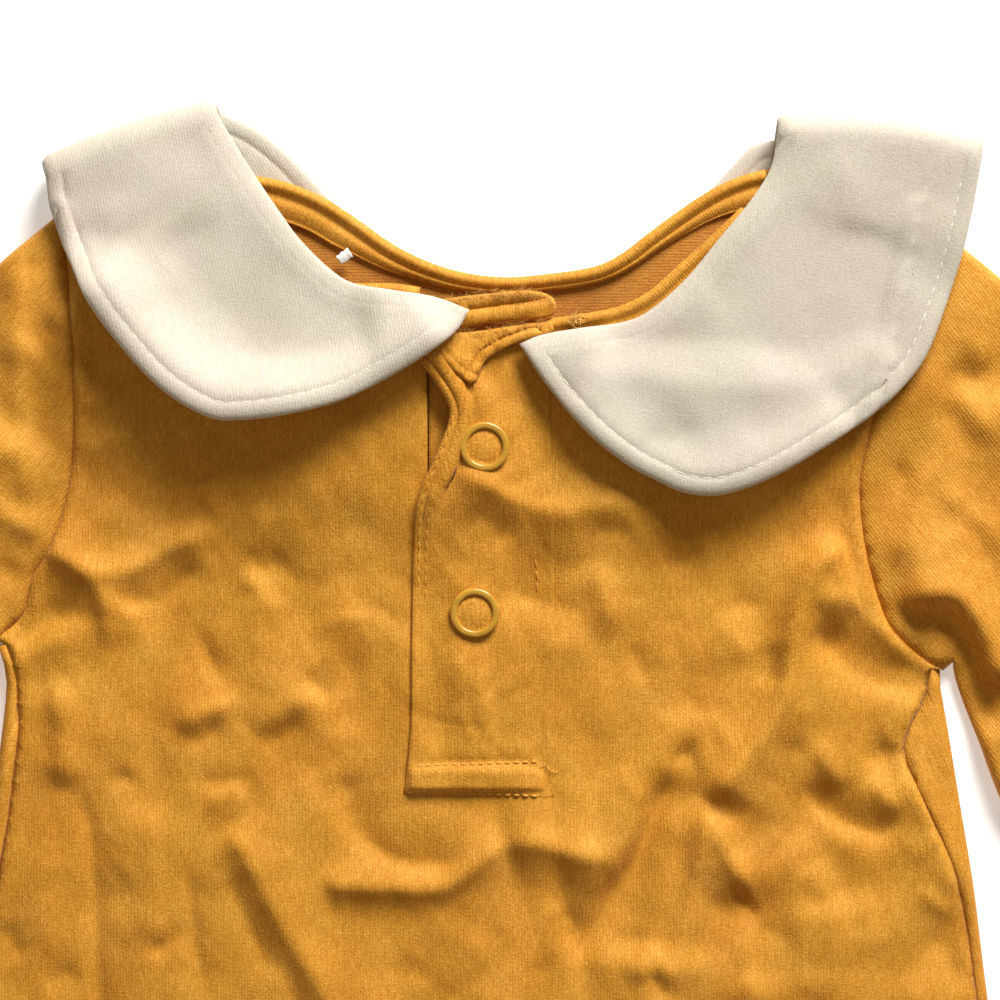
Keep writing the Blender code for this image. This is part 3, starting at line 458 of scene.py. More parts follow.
# %% Creases of the body and sleeves
# Each row has the points of a crease | its height, its half width on the left of the line and
# on its right. These are placed by pixels of the picture, counted from its top left corner.
SHOWN_CREASES = """
# right side of the body, from the armhole down
850,545 822,558 806,580 797,608 790,640 786,680 772,716 748,752 722,784 706,806 | 5.4 9 3
712,796 704,830 698,868 690,905 680,940 666,985 652,1050 648,1130 | 3.6 7 2.8
710,812 722,842 737,870 756,904 | 2.2 2 3
728,884 744,902 764,926 | -1.6 3 2.4
676,800 668,850 660,900 640,960 | 1.3 3 3.6
736,920 744,960 750,1010 | 1.1 3 3
724,886 708,925 694,970 | -1 3 3
788,830 794,880 800,940 806,1010 | 1.2 5 3.5
807,696 800,720 796,750 | 1 2.2 3
812,736 826,762 843,794 | 1.5 2.8 2
798,782 824,806 850,826 876,833 906,822 | -3 5.5 2.8
864,778 884,796 904,816 | 1.2 3 2.6
806,816 836,836 880,842 | 0.9 3 4.5
806,626 834,648 860,670 892,681 946,683 | -3.8 6 3
806,602 840,598 866,612 | 1.4 4 3
955,690 932,716 912,742 905,762 | -1.6 3 2.4
860,762 880,757 898,744 | -1.7 3.6 3.4
906,764 924,798 940,832 953,866 966,905 | 1.8 2.4 5.2
918,888 935,903 955,918 | 1.2 2.5 2.2
930,930 948,955 962,1000 | -0.9 3 3
804,862 814,884 826,905 | 0.9 2.2 2
862,880 870,920 884,960 | 0.7 4 4
658,566 684,560 710,550 | -1.3 3.4 3.2
726,603 746,604 768,613 | -0.9 3 3
716,616 734,640 752,664 | 1.1 2.6 3.6
768,640 776,665 772,694 | -1.1 3.4 3.4
696,704 680,726 668,748 656,780 642,812 | 1.7 4 3
664,750 680,757 700,752 | -1.2 3 3
703,700 704,740 706,780 | 0.8 1.6 1.6
712,706 724,735 738,762 | 0.9 2.2 2.6
676,770 653,820 637,860 616,900 592,938 574,968 | -2.8 2.2 3.6
652,790 634,832 612,872 590,905 | 1.8 3 7
632,985 642,960 652,950 660,962 668,990 | 1.5 2.2 2.2
654,966 662,986 668,1010 | -1.1 1.8 1.8
# under the placket
316,874 336,885 366,887 400,888 440,888 468,872 496,850 522,838 | 2.8 6 2.8
500,848 530,842 562,850 600,858 622,868 | 3.6 7 4.6
334,768 346,800 362,834 388,858 430,866 470,856 | -2.1 4.5 3
486,926 470,956 455,990 444,1040 | 1.3 3 4
556,898 544,930 528,966 512,1004 500,1040 | 1.5 3 4
560,906 572,925 578,948 | -1 2.5 2.5
405,950 402,985 398,1025 | -1 3 3
# beside the placket
590,556 601,586 610,618 613,646 | 1.5 3 4.5
606,660 601,700 603,745 | 0.8 2 2
496,586 540,602 596,618 | -1.4 6.5 4
536,652 565,646 594,641 | 0.8 4.5 4
466,505 486,520 512,548 | -1.1 4 4.5
458,470 490,487 520,503 560,512 600,506 640,500 | 1.6 4.2 5
590,522 612,532 634,524 | -1.1 3 3
633,643 640,665 645,686 | -0.7 3 3
448,640 470,680 500,722 | 0.8 5 5
616,768 630,788 646,808 | 1 2.5 2.5
418,742 440,734 474,744 | -0.5 4 4
# left side of the body
34,546 58,554 78,567 98,588 106,614 106,650 | 2.6 4.5 3
60,552 100,574 138,566 168,548 196,538 220,528 | 2 3.6 3
62,548 90,532 112,510 128,492 | 1.2 3.4 3.4
106,588 130,601 158,600 180,582 202,560 | -1.4 3.2 2.6
100,585 112,604 128,618 148,626 | 0.9 2.5 2.5
107,620 102,700 98,765 | 1 3 2.6
160,530 186,522 214,505 | -0.9 3 3
264,498 265,518 258,538 245,553 238,567 | 1.3 2.4 2.4
238,570 252,582 264,600 274,628 | 1.2 3 2.2
246,573 268,567 288,552 | -1.3 3.4 2.6
268,566 300,580 332,590 | -0.7 3 3
196,618 204,646 212,668 224,686 | -1.1 2.2 2.6
254,590 256,630 260,680 | 0.8 2.4 2
172,731 188,722 206,712 226,706 250,690 | 2.1 4 2.8
178,746 200,739 226,723 | -0.7 2.6 2.8
250,738 272,720 296,702 330,704 | 1.4 3.2 3
262,750 284,734 306,714 | -1 2.4 3
302,672 318,690 336,706 | -1.5 4.6 1.8
362,634 356,660 350,690 343,722 340,740 | -1.4 5 1.8
303,640 330,622 362,618 392,622 | 1.1 3 4.5
190,781 222,784 262,776 | -1 2.8 2.4
200,795 225,799 250,790 | 1.1 2.5 5
100,778 116,782 134,772 | -0.9 2.4 2.4
224,826 243,850 266,895 296,948 322,990 350,1055 | 2.9 7 3.6
226,866 240,905 256,940 272,985 | -1 3 3
186,850 190,900 196,950 206,1010 | -0.8 1.6 1.6
150,800 151,850 152,900 148,955 | 1.5 5 6
146,958 165,946 188,928 | -1.2 2.6 2.2
80,790 88,830 92,880 95,940 97,1010 103,1110 | -1.4 2.8 1.8
50,676 60,712 64,750 56,792 | 2.3 6 5
-6,652 28,630 56,614 84,618 | -2 4 3
-6,676 30,652 64,641 90,650 | 1.6 4 4
4,920 12,945 22,965 | -1.1 3 3
44,840 40,900 50,960 | 0.9 5 4
40,990 60,978 80,968 | -0.9 2.4 2.4
84,413 104,398 126,381 | 1.4 3 3
86,378 96,356 106,336 | -1.2 3 3
68,454 110,441 154,430 | 1.1 4 4
163,412 161,445 160,482 | 0.7 1.6 1.6
206,428 200,455 207,484 | 0.9 2.5 2.5
300,500 350,480 390,500 | 0.8 6 6
330,560 360,600 364,640 | -0.7 5 5
# right sleeve
905,452 919,482 915,512 906,540 888,566 | 1.6 5 2.6
886,480 902,474 920,483 | -1.2 3.2 3.2
935,486 960,506 992,542 | 1.4 3 2.6
948,528 965,540 984,558 | 1 2.4 2.2
886,602 915,598 946,594 964,606 980,632 993,664 1004,694 | 5 8 2.6
936,618 956,628 972,656 984,696 1004,740 | -2.4 2 4
900,622 926,619 948,624 960,640 | -1.6 3 3
956,361 966,374 984,390 | -1.3 3 3
966,328 976,350 988,370 | 0.9 1.6 1.6
948,390 975,412 1002,452 | 1.6 4 3
938,400 958,425 974,458 | -1 3 3
931,342 912,380 895,418 | 1.3 4 3
1020,500 1060,600 1110,740 | 2.4 6 5
# left sleeve
18,238 20,300 19,350 19,391 24,430 25,470 26,508 | 1.7 2.4 4.4
26,346 42,334 62,319 | -1.7 2.8 3.2
22,250 28,266 35,279 | -1.1 2.4 2.4
-24,464 0,453 20,447 | 1.4 3 3
-24,498 6,516 30,528 52,533 | 2 4 3
-18,558 5,572 27,586 | -1.4 3.6 3.6
0,300 6,330 2,370 | 1.1 4 4
"""
# The body swells under the left collar, and falls away below it.
BROAD_CREASES = """
96,262 150,335 215,386 300,392 380,366 456,318 | 4.2 12 15
560,392 620,446 690,474 770,460 850,410 | 1.3 9 7
"""
# The rest lie outside the picture, on the lower body and sleeves, in millimetres.
HIDDEN_CREASES = """
34,-24 32,-60 26,-96 26,-140 | 4 8 9
72,-14 76,-60 80,-120 | 2.5 9 8
56,-30 55,-80 58,-120 | 1.6 8 6
-4,-34 6,-46 8,-80 | 1.6 7 9
46,-60 40,-90 44,-110 | -1.4 4 5
-12,-52 -4,-84 -10,-112 | -1.2 4 5
-28,-44 -20,-74 -22,-130 | 3.4 8 8
-82,-40 -80,-70 -78,-116 | 2 7 8
-58,-50 -56,-80 -60,-104 | -1.2 5 4
-46,-60 -44,-100 -50,-130 | 1.3 5 6
90,-30 94,-70 96,-110 | 1.2 5 5
-98,-50 -99,-90 | 1.1 4 5
104,92 122,70 132,40 | 2.8 8 8
124,36 146,14 176,4 | 3 8 8
128,12 146,-4 170,-14 | 1.6 6 6
150,60 158,36 160,10 | 1.4 6 6
120,20 132,-2 148,-20 | -1.3 4 4
-96,84 -112,62 -118,34 | 2.8 8 8
-112,92 -138,60 -150,24 | 2.6 8 8
-128,8 -150,-4 -184,-4 | 2.4 8 8
-124,22 -140,10 -160,14 | 1.4 6 6
-118,20 -130,-8 -142,-24 | -1.3 4 4
"""
PIXEL = 0.21              # width of a picture pixel on the cloth, in millimetres
PICTURE_MIDDLE_X, PICTURE_TOP_Y = 485, 173.1


def picture(points):
    """Millimetres on the cloth for pixels of the picture."""
    return [((x - PICTURE_MIDDLE_X) * PIXEL, PICTURE_TOP_Y - y * PIXEL) for x, y in points]


def crease_lines(table, step, to_cloth=list):
    """The lines and sizes of a table of creases."""
    lines = []
    for row in table.splitlines():
        if "|" in row:
            points, sizes = row.split("|")
            lines.append((spline(to_cloth(path(points)), step), *map(float, sizes.split())))
    return lines


def small_creases(count, seed):
    """Short faint creases all over, mostly along the ribs, between those listed."""
    dice = np.random.default_rng(seed)
    lines = []
    for _ in range(count):
        x, y = dice.uniform(-190, 190), dice.uniform(-140, 110)
        heading = math.radians(90 + dice.normal(0, 38)) - x / 300.0
        length = dice.uniform(9, 34)
        run = np.array([math.cos(heading), math.sin(heading)]) * length / 2
        bow = np.array([-run[1], run[0]]) * dice.uniform(-0.3, 0.3)
        points = [np.array([x, y]) - run, np.array([x, y]) + bow, np.array([x, y]) + run]
        width = dice.uniform(1.2, 4.0)
        rise = dice.choice([-1, 1]) * width * dice.uniform(0.08, 0.22)
        lines.append((spline(points, 3.0), rise, width, width * dice.uniform(0.6, 1.2)))
    return lines


CREASE_LINES = crease_lines(SHOWN_CREASES, 2.5, picture) + crease_lines(HIDDEN_CREASES, 3.0)
CREASE_LINES += small_creases(170, 12)
BROAD_LINES = crease_lines(BROAD_CREASES, 3.0, picture)


def ripples(points, length, size, seed):
    """Gentle waves in all directions, about the given length apart."""
    dice = np.random.default_rng(seed)
    total = np.zeros(len(points))
    count = 14
    for _ in range(count):
        heading = dice.uniform(0, math.pi)
        wave = length * dice.uniform(0.7, 1.6)
        run = points @ np.array([math.cos(heading), math.sin(heading)])
        total += np.sin(2 * math.pi * run / wave + dice.uniform(0, 2 * math.pi))
    return size * total / math.sqrt(count)


def crumple(points, length, size, seed):
    """Soft humps with sharper, wandering valleys between them, drawn out along the ribs."""
    drift = ripples(points, 3 * length, 0.25 * length, seed + 50)
    drawn = points * [1.0, 0.5] + np.column_stack([drift, 0.22 * points[:, 0]])
    return np.sqrt(ripples(drawn, length, 1.0, seed) ** 2 + 0.015) * size - 0.8 * size


def creased(points, lines):
    """Height of the creases at each point."""
    height = np.zeros(len(points))
    for line, rise, left, right in lines:
        near = close_to(points, line, 3.0 * max(left, right))
        if not near.any():
            continue
        away, share, side = measure(points[near], line)
        width = np.where(side > 0, left, right)
        length = line_lengths(line)[-1]
        taper = smooth(np.minimum(share, 1.0 - share) * length / min(7.0, 0.36 * length) + 0.04)
        sharpness = 1.25 if rise > 0 else 1.4
        height[near] += rise * taper * np.exp(-(away / width) ** sharpness)
    return height


def back_height(points):
    """Middle of the shirt's lower layer."""
    away = np.min([distance_outside(points, outline) for outline in BACK_COLLARS], axis=0)
    return BACK_MIDDLE + BACK_LIFT * smooth(1.0 - (away - LIFT_SHELF) / LIFT_RAMP)


def read_table(table, key):
    """Straight-line reading of a table of (falling key, value)."""
    keys, values = zip(*table[::-1])
    return np.interp(key, keys, values)


def side_x(side, y):
    return read_table([point[::-1] for point in side], y)


# y, how far the back comes round to the front there
WRAP_RIGHT = path("33,2.15 30.6,2.2 26,4 17.5,10 13,10.2 5,8 -1,6 -7,4.4 -14,3.2 -25,2.5 -148,2.3")
WRAP_LEFT = path("38,2.15 33,2.2 26,2.6 20,3.7 1,3.6 -14,2.6 -148,2.3")


def side_line(side, reach_of, step=4.0):
    """A line beside a side fold from the underarm to the hem."""
    sign = 1.0 if side is SIDE_RIGHT else -1.0
    count = int((side[0][1] - HEM_Y) / step)
    y = np.linspace(side[0][1], HEM_Y, count + 1)
    return np.stack([side_x(side, y) + sign * reach_of(y), y], axis=1)


def come_round(side, y):
    """How far the back comes round to the front."""
    return read_table(WRAP_RIGHT if side is SIDE_RIGHT else WRAP_LEFT, y)


def seam_line(side, gap=0.0):
    """The side seam, or a line a gap further in."""
    return side_line(side, lambda y: -come_round(side, y) - gap)


# line, height of the ridge on its left, on its right
SEAM_LINES = [(spline(ARMHOLE_RIGHT, 3.0), 0.25, 0.85), (spline(ARMHOLE_LEFT, 3.0), 0.75, 0.25),
              (seam_line(SIDE_RIGHT), 0.35, 0.2), (seam_line(SIDE_LEFT), 0.2, 0.35)]


def seam_relief(points):
    """A sewn seam: a narrow groove, and the turned-in cloth as a low ridge on both sides."""
    relief = np.zeros(len(points))
    for line, left, right in SEAM_LINES:
        near = close_to(points, line, 8.0)
        if near.any():
            away, _, side = measure(points[near], line)
            ridge = np.where(side > 0, left, right)
            relief[near] += (ridge * np.exp(-((away - 1.8) / 1.3) ** 2)
                             - 0.45 * np.exp(-(away / 0.6) ** 2))
    return relief


def front_height(points):
    """Middle of the shirt's upper layer, on the body and the sleeves."""
    covered = np.min([distance_outside(points, area) for area in FRONT_COLLARS], axis=0)
    share = smooth((covered + 2.0) / 8.0)
    hem = smooth((points[:, 1] - HEM_Y) / HEM_DEPTH)
    waves = (creased(points, CREASE_LINES) + ripples(points, 26.0, 0.15, 3)
             + crumple(points, 22.0, 0.62, 4) + crumple(points, 9.0, 0.2, 5))
    back = back_height(points)
    height = back - BACK_MIDDLE + FRONT_MIDDLE + share * hem * waves + seam_relief(points)
    height += creased(points, BROAD_LINES)
    lowest = back + CLOTH + 0.2
    return lowest + np.logaddexp(0.0, (height - lowest) * 3.0) / 3.0


# %% [markdown]
# ## Cutting cloth
#
# A sheet starts as its outline and a triangular net of points inside it. A Delaunay
# triangulation joins them, the place function lays every point, and the wall is grown to
# both sides along the normals. Rings of points just inside the edge let the wall thin out
# there, which gives each edge the rounded look of folded or rolled cloth.

# %% Facets and walls
def net(outline, cell, guides):
    """A triangular net inside an outline, clear of the guide lines."""
    row_height = cell * math.sqrt(3.0) / 2.0
    low, high = outline.min(axis=0), outline.max(axis=0)
    rows = np.arange(math.floor(low[1] / row_height), math.ceil(high[1] / row_height) + 1)
    columns = np.arange(math.floor(low[0] / cell) - 1, math.ceil(high[0] / cell) + 2)
    grid_x, grid_y = np.meshgrid(columns, rows)
    points = np.column_stack([((grid_x + 0.5 * (grid_y % 2)) * cell).ravel(),
                              (grid_y * row_height).ravel()])
    points = points[is_inside(points, outline)]
    for guide in guides:
        points = points[measure(points, guide)[0] > 0.55 * cell]
    return points


def facets(outline, cell, rings=(), fold_lines=()):
    """Facet flat cloth. The outline's points come first, in order."""
    loop = closed(outline)
    if np.sum(loop[:-1, 0] * loop[1:, 1] - loop[1:, 0] * loop[:-1, 1]) < 0:
        raise ValueError("an outline runs clockwise")
    inner = []
    for ring in rings:
        spots = beside(np.vstack([outline[-1:], loop]), ring)[1:-1]
        kept = is_inside(spots, outline) & (measure(spots, loop)[0] > 0.8 * ring)
        for fold_line in fold_lines:
            kept &= measure(spots, fold_line)[0] > 0.35
        inner.append(spots[kept])
    middle = net(outline, cell, fold_lines)
    edge_band = max(max(rings, default=0.0) + 0.3 * cell, 0.5 * cell)
    middle = middle[measure(middle, loop)[0] > edge_band]
    points = [Vector(point) for point in outline]
    edges = [(index, (index + 1) % len(outline)) for index in range(len(outline))]
    for fold_line in fold_lines:
        first = len(points)
        edges += [(first + index, first + index + 1) for index in range(len(fold_line) - 1)]
        points += [Vector(point) for point in fold_line]
    for batch in inner + [middle]:
        points += [Vector(point) for point in batch]
    border = [list(range(len(outline)))]
    flat, _, faces, *_ = geometry.delaunay_2d_cdt(points, edges, border, 1, 1e-5)
    return np.array([tuple(point) for point in flat]), np.array([tuple(face) for face in faces])


def add_mesh(name, points, faces, *paints):
    """A new piece from points in millimetres, with its finishes in order."""
    mesh = bpy.data.meshes.new(name)
    mesh.from_pydata((points * MM).tolist(), [], faces)
    for paint in paints:
        mesh.materials.append(paint)
    return add(name, mesh)


def wall(name, middle, faces, thickness, pattern, upper, lower=None):
    """Grow a middle surface into a closed wall. thickness is one number or one for each point."""
    corners = middle[faces]
    across = np.cross(corners[:, 1] - corners[:, 0], corners[:, 2] - corners[:, 0])
    normals = np.zeros_like(middle)
    for corner in range(3):
        np.add.at(normals, faces[:, corner], across)
    normals /= np.maximum(np.linalg.norm(normals, axis=1, keepdims=True), 1e-12)
    half = np.broadcast_to(np.asarray(thickness, float) / 2, (len(middle),))[:, None]
    places = np.vstack([middle + normals * half, middle - normals * half])
    count = len(middle)
    sides = np.vstack([faces[:, [0, 1]], faces[:, [1, 2]], faces[:, [2, 0]]])
    keys = np.sort(sides, axis=1)
    _, first, shared = np.unique(keys, axis=0, return_index=True, return_counts=True)
    rim = sides[first[shared == 1]]
    quads = np.stack([rim[:, 1], rim[:, 0], rim[:, 0] + count, rim[:, 1] + count], axis=1)
    all_faces = faces.tolist() + (faces[:, ::-1] + count).tolist() + quads.tolist()
    piece = add_mesh(name, places, all_faces, upper, lower or upper)
    mesh = piece.data
    slots = np.zeros(len(all_faces), int)
    slots[len(faces):2 * len(faces)] = 1
    mesh.polygons.foreach_set("material_index", slots)
    mesh.polygons.foreach_set("use_smooth", np.ones(len(all_faces), bool))
    layer = mesh.uv_layers.new(name="pattern")
    loops = np.zeros(len(mesh.loops), int)
    mesh.loops.foreach_get("vertex_index", loops)
    layer.data.foreach_set("uv", (np.vstack([pattern, pattern])[loops] * MM).ravel())
    print(name, "faces", len(all_faces))
    return piece


def edge_taper(points, outline, full, roll, thin=0.3):
    """Thickness that swells from thin at the outline to full at a distance roll inside it."""
    away = measure(points, closed(outline))[0]
    share = np.clip(away / roll, 0.0, 1.0)
    return thin + (full - thin) * np.sqrt(1.0 - (1.0 - share) ** 2)


def dress(piece, node_name=None):
    """Fix a piece to the shirt, and let it stand for a solid."""
    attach(piece, "root")
    if node_name:
        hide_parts(node_name)
    return piece


# %% [markdown]
# ## The back
#
# The back panel lies on the table and on the back half of the collar. Beside the body its
# edges fold over and come round to the front, so the side seams lie a little way in from
# the outline. Looking into the neck we see its wrong side, so the upper side of the wall
# has crosswise bars and the lower side has wales. The wrong side is painted darker, as
# painted shade for the inside of the neck.

# %% Back panel
FOLD_RADIUS = (FRONT_MIDDLE - BACK_MIDDLE) / 2
ARC_STEPS = 8


def place_back(points):
    """Lay the back flat, and bring its sides round to the front."""
    placed = np.column_stack([points, back_height(points)])
    for _, side, sign in SIDES:
        start = side_x(side, points[:, 1]) - sign * (FOLD_RADIUS + CLOTH / 2)
        past = sign * (points[:, 0] - start)
        turning = (points[:, 1] < side[0][1] + 0.01) & (past > 0)
        if not turning.any():
            continue
        y, edge, past = points[turning, 1], start[turning], past[turning]
        foot = np.column_stack([edge, y])
        low, high = back_height(foot), front_height(foot)
        turned = np.minimum(past / FOLD_RADIUS, math.pi)
        beyond = np.maximum(past - math.pi * FOLD_RADIUS, 0.0)
        x = edge + sign * (FOLD_RADIUS * np.sin(turned) - beyond)
        z = low + (high - low) * (1 - np.cos(turned)) / 2
        z = np.where(beyond > 0, front_height(np.column_stack([x, y])), z)
        placed[turning] = np.column_stack([x, y, z])
    return placed


def back_outline(step):
    reaches = [-(FOLD_RADIUS + CLOTH / 2) + math.pi * FOLD_RADIUS * k / ARC_STEPS
               for k in range(ARC_STEPS + 1)]
    sides, folds = [], []
    for armhole, side, sign in SIDES:
        lines = [side_line(side, lambda y, reach=reach: reach + 0 * y) for reach in reaches]
        seam = spline(armhole, step)
        seam = seam[sign * (lines[0][0, 0] - seam[:, 0]) > 0.4]
        cut = side_line(side, lambda y: reaches[-1] + reaches[0] + come_round(side, y))
        sides.append(np.vstack([seam, [line[0] for line in lines], cut]))
        folds += lines
    right, left = sides
    outline = np.vstack([spline(BACK_NECK, step)[:-1],
                         spline([BACK_NECK[-1], right[0]], step)[:-1], right,
                         spline([right[-1], left[-1]], step)[1:-1], left[::-1],
                         spline([left[0], BACK_NECK[0]], step)[1:-1]])
    return outline[::-1], folds


outline, side_folds = back_outline(2.5)
flat, faces = facets(outline, 2.2, rings=(0.4, 1.2), fold_lines=side_folds)
back_panel = wall("back_panel_cloth", place_back(flat), faces,
                  edge_taper(flat, outline, JERSEY_WALL, *PANEL_EDGE), flat, MUSTARD_BACK_PAINTED_SHADE,
                  MUSTARD_FACE)
dress(back_panel, "back_panel")

# %% [markdown]
# ## The front
#
# The front lies over the back with all the creases. A slit runs down from the neck for the
# placket, so the outline has a deep notch there.

# %% Front panel
def front_outline(step):
    right, left = (np.vstack([spline(armhole, step), seam_line(side, SEAM_GAP)])
                   for armhole, side, _ in SIDES)
    return np.vstack([
        spline([(SLIT_RIGHT, SLIT_BOTTOM), FRONT_NECK_RIGHT[0]], step)[:-1],
        spline(FRONT_NECK_RIGHT, step)[:-1],
        spline([FRONT_NECK_RIGHT[-1], right[0]], step)[:-1], right,
        spline([right[-1], left[-1]], step)[1:-1], left[::-1],
        spline([left[0], FRONT_NECK_LEFT[0]], step)[1:-1], spline(FRONT_NECK_LEFT, step),
        spline([FRONT_NECK_LEFT[-1], (SLIT_LEFT, SLIT_BOTTOM)], step)[1:],
        spline([(SLIT_LEFT, SLIT_BOTTOM), (SLIT_RIGHT, SLIT_BOTTOM)], step)[1:-1]])[::-1]


outline = front_outline(2.0)
flat, faces = facets(outline, 1.35, rings=(0.4, 1.0))
middle = np.column_stack([flat, front_height(flat)])
front_panel = wall("front_panel_cloth", middle, faces,
                   edge_taper(flat, outline, JERSEY_WALL, *PANEL_EDGE), flat, MUSTARD_FACE,
                   MUSTARD_BACK_PAINTED_SHADE)
dress(front_panel, "front_panel")

# %% [markdown]
# ## The sleeves
#
# Each sleeve is a tube that lies flat: two layers with a folded edge along the top and
# another along the underarm. Both layers are cut from the same facets, and half rings of
# points join them along the two edges. The armhole and the cuff stay open.

# %% Sleeves
def trimmed(curve, cut):
    """The curve with a length cut off each end, and its other points kept."""
    share = cut / line_lengths(curve)[-1]
    ends = along(curve, [share, 1.0 - share])
    return np.vstack([ends[:1], curve[1:-1], ends[1:]])


def make_sleeve(name, armhole, outer, inner, outward, grain):
    """outward is the way from the body, grain how far the ribs turn in degrees."""
    step = 2.4
    seam = beside(spline(armhole, step), outward * SEAM_GAP)
    top_edge = spline([seam[0]] + outer, step)
    low_edge = spline([seam[-1]] + inner, step)
    seam_in = trimmed(seam, FOLD_RADIUS)
    cuff_in = trimmed(spline([top_edge[-1], low_edge[-1]], step), FOLD_RADIUS)
    top_in = np.vstack([seam_in[:1], beside(top_edge, -outward * FOLD_RADIUS)[1:-1], cuff_in[:1]])
    low_in = np.vstack([seam_in[-1:], beside(low_edge, outward * FOLD_RADIUS)[1:-1], cuff_in[-1:]])
    outline = np.vstack([top_in, cuff_in[1:-1], low_in[::-1], seam_in[-2:0:-1]])
    top_at = np.arange(len(top_in))
    low_at = len(top_in) + len(cuff_in) - 2 + np.arange(len(low_in))[::-1]
    if outward > 0:
        outline = outline[::-1]
        top_at, low_at = len(outline) - 1 - top_at, len(outline) - 1 - low_at
    flat, faces = facets(outline, 1.7)
    count = len(flat)
    upper = np.column_stack([flat, front_height(flat)])
    lower = np.column_stack([flat, back_height(flat)])
    points, pattern = [upper, lower], [flat, flat]
    all_faces = [faces, faces[:, ::-1] + count]
    used = 2 * count
    for at, inset, edge, turn in ((top_at, top_in, top_edge, outward),
                                  (low_at, low_in, low_edge, -outward)):
        high, low = upper[at, 2], lower[at, 2]
        rows = [at]
        for k in range(1, ARC_STEPS):
            angle = math.pi * k / ARC_STEPS
            spots = inset + (edge - inset) * math.sin(angle)
            level = high - (high - low) * (1 - math.cos(angle)) / 2
            points.append(np.column_stack([spots, level]))
            pattern.append(inset + (edge - inset) * angle)
            rows.append(used + np.arange(len(inset)))
            used += len(inset)
        rows.append(at + count)
        for one, two in zip(rows, rows[1:]):
            a, b, c, d = one[:-1], one[1:], two[1:], two[:-1]
            pair = np.vstack([np.stack([a, b, c], axis=1), np.stack([a, c, d], axis=1)])
            all_faces.append(pair if turn > 0 else pair[:, ::-1])
    sleeve = wall(name + "_cloth", np.vstack(points), np.vstack(all_faces), JERSEY_WALL,
                  spun(np.vstack(pattern), grain), MUSTARD_FACE, MUSTARD_BACK_PAINTED_SHADE)
    dress(sleeve, name)


make_sleeve("sleeve_right", ARMHOLE_RIGHT, SLEEVE_RIGHT_OUTER, SLEEVE_RIGHT_INNER, 1.0, 38.0)
make_sleeve("sleeve_left", ARMHOLE_LEFT, SLEEVE_LEFT_OUTER, SLEEVE_LEFT_INNER, -1.0, -38.0)

# %% [markdown]
# ## The neck
#
# A strip of the same jersey is folded over the seam round the neck. Inside the back neck it
# shows as a round roll, a groove, and a flat band. The strip is
# laid along the neck line as a grid whose cross section has that profile.

# %% Neck binding
BINDING_CLOTH = 0.7
BINDING_LEVEL = CLOTH + 0.3
ROLL_WIDTH, BAND_WIDTH = 2.4, 8.2
# x along the neck, width of the band that shows there. It is turned under towards the
# middle of the back, where only its roll shows.
BAND_TABLE = path("60,8.2 54.6,7.2 43.5,5 34,3.8 25,2.9 0,2.9 -12.8,4 -19.5,5.4 -28,7.2 -50,8.2")


def binding(name, line, width, rolls, side, base, shown=lambda line, across: across):
    """A strip on the left (1) or right (-1) of a line, with (place, height, half width) rolls."""
    across = np.linspace(0.0, width, max(9, int(width / 0.35)))
    rise = np.zeros_like(across)
    for place, height, half_width in rolls:
        rise += height * np.exp(-((across - place) / half_width) ** 2)
    profile = [(side * a, r) for a, r in zip(across, rise)][::-side]
    lengths, count = line_lengths(line), len(line)
    sideways = beside(line, 1.0) - line
    rows, pattern, faces = [], [], []
    for number, (across, rise) in enumerate(profile):
        row = line + sideways * np.reshape(shown(line, across), (-1, 1))
        rows.append(np.column_stack([row, base(row) + rise]))
        pattern.append(np.column_stack([lengths, np.full(count, across)]))
        a = number * count + np.arange(count - 1)
        if number < len(profile) - 1:
            faces += [np.stack([a, a + 1, a + 1 + count], axis=1),
                      np.stack([a, a + 1 + count, a + count], axis=1)]
    piece = wall(name + "_cloth", np.vstack(rows), np.vstack(faces), BINDING_CLOTH,
                 np.vstack(pattern), MUSTARD_FACE)
    dress(piece, name)


def shown_band(line, across):
    """Draw the flat part of the band in to the width that shows."""
    width = read_table(BAND_TABLE, line[:, 0])
    beyond = max(abs(across) - ROLL_WIDTH, 0.0)
    drawn = min(abs(across), ROLL_WIDTH) + beyond * (width - ROLL_WIDTH) / (BAND_WIDTH - ROLL_WIDTH)
    return np.sign(across) * drawn


binding("neck_binding_back", beside(spline(BACK_NECK, 1.2)[1:-1], -0.2), BAND_WIDTH,
        [(1.1, 1.3, 1.1), (4.8, 0.45, 1.5), (7.6, -0.3, 0.8)], -1,
        lambda points: back_height(points) + BINDING_LEVEL, shown_band)
for end, neck in (("left", spline(FRONT_NECK_LEFT, 1.2)[12:-2]),
                  ("right", spline(FRONT_NECK_RIGHT, 1.2)[:-12])):
    binding("neck_binding_" + end, beside(neck, 0.3), 4.0, [(2.9, 0.9, 1.0), (0.6, 0.1, 0.8)], 1,
            front_height)

# %% [markdown]
# ## The collar
#
# Each half is two layers of cream jersey, sewn face to face, turned and topstitched 3.6 mm
# from the edge. The edge puffs up outside the stitching. The half folds over at the
# shoulder: what we see is its front, and its back is under the shirt. In the flat pattern
# the fold is a straight band, and the place function rolls that band round.

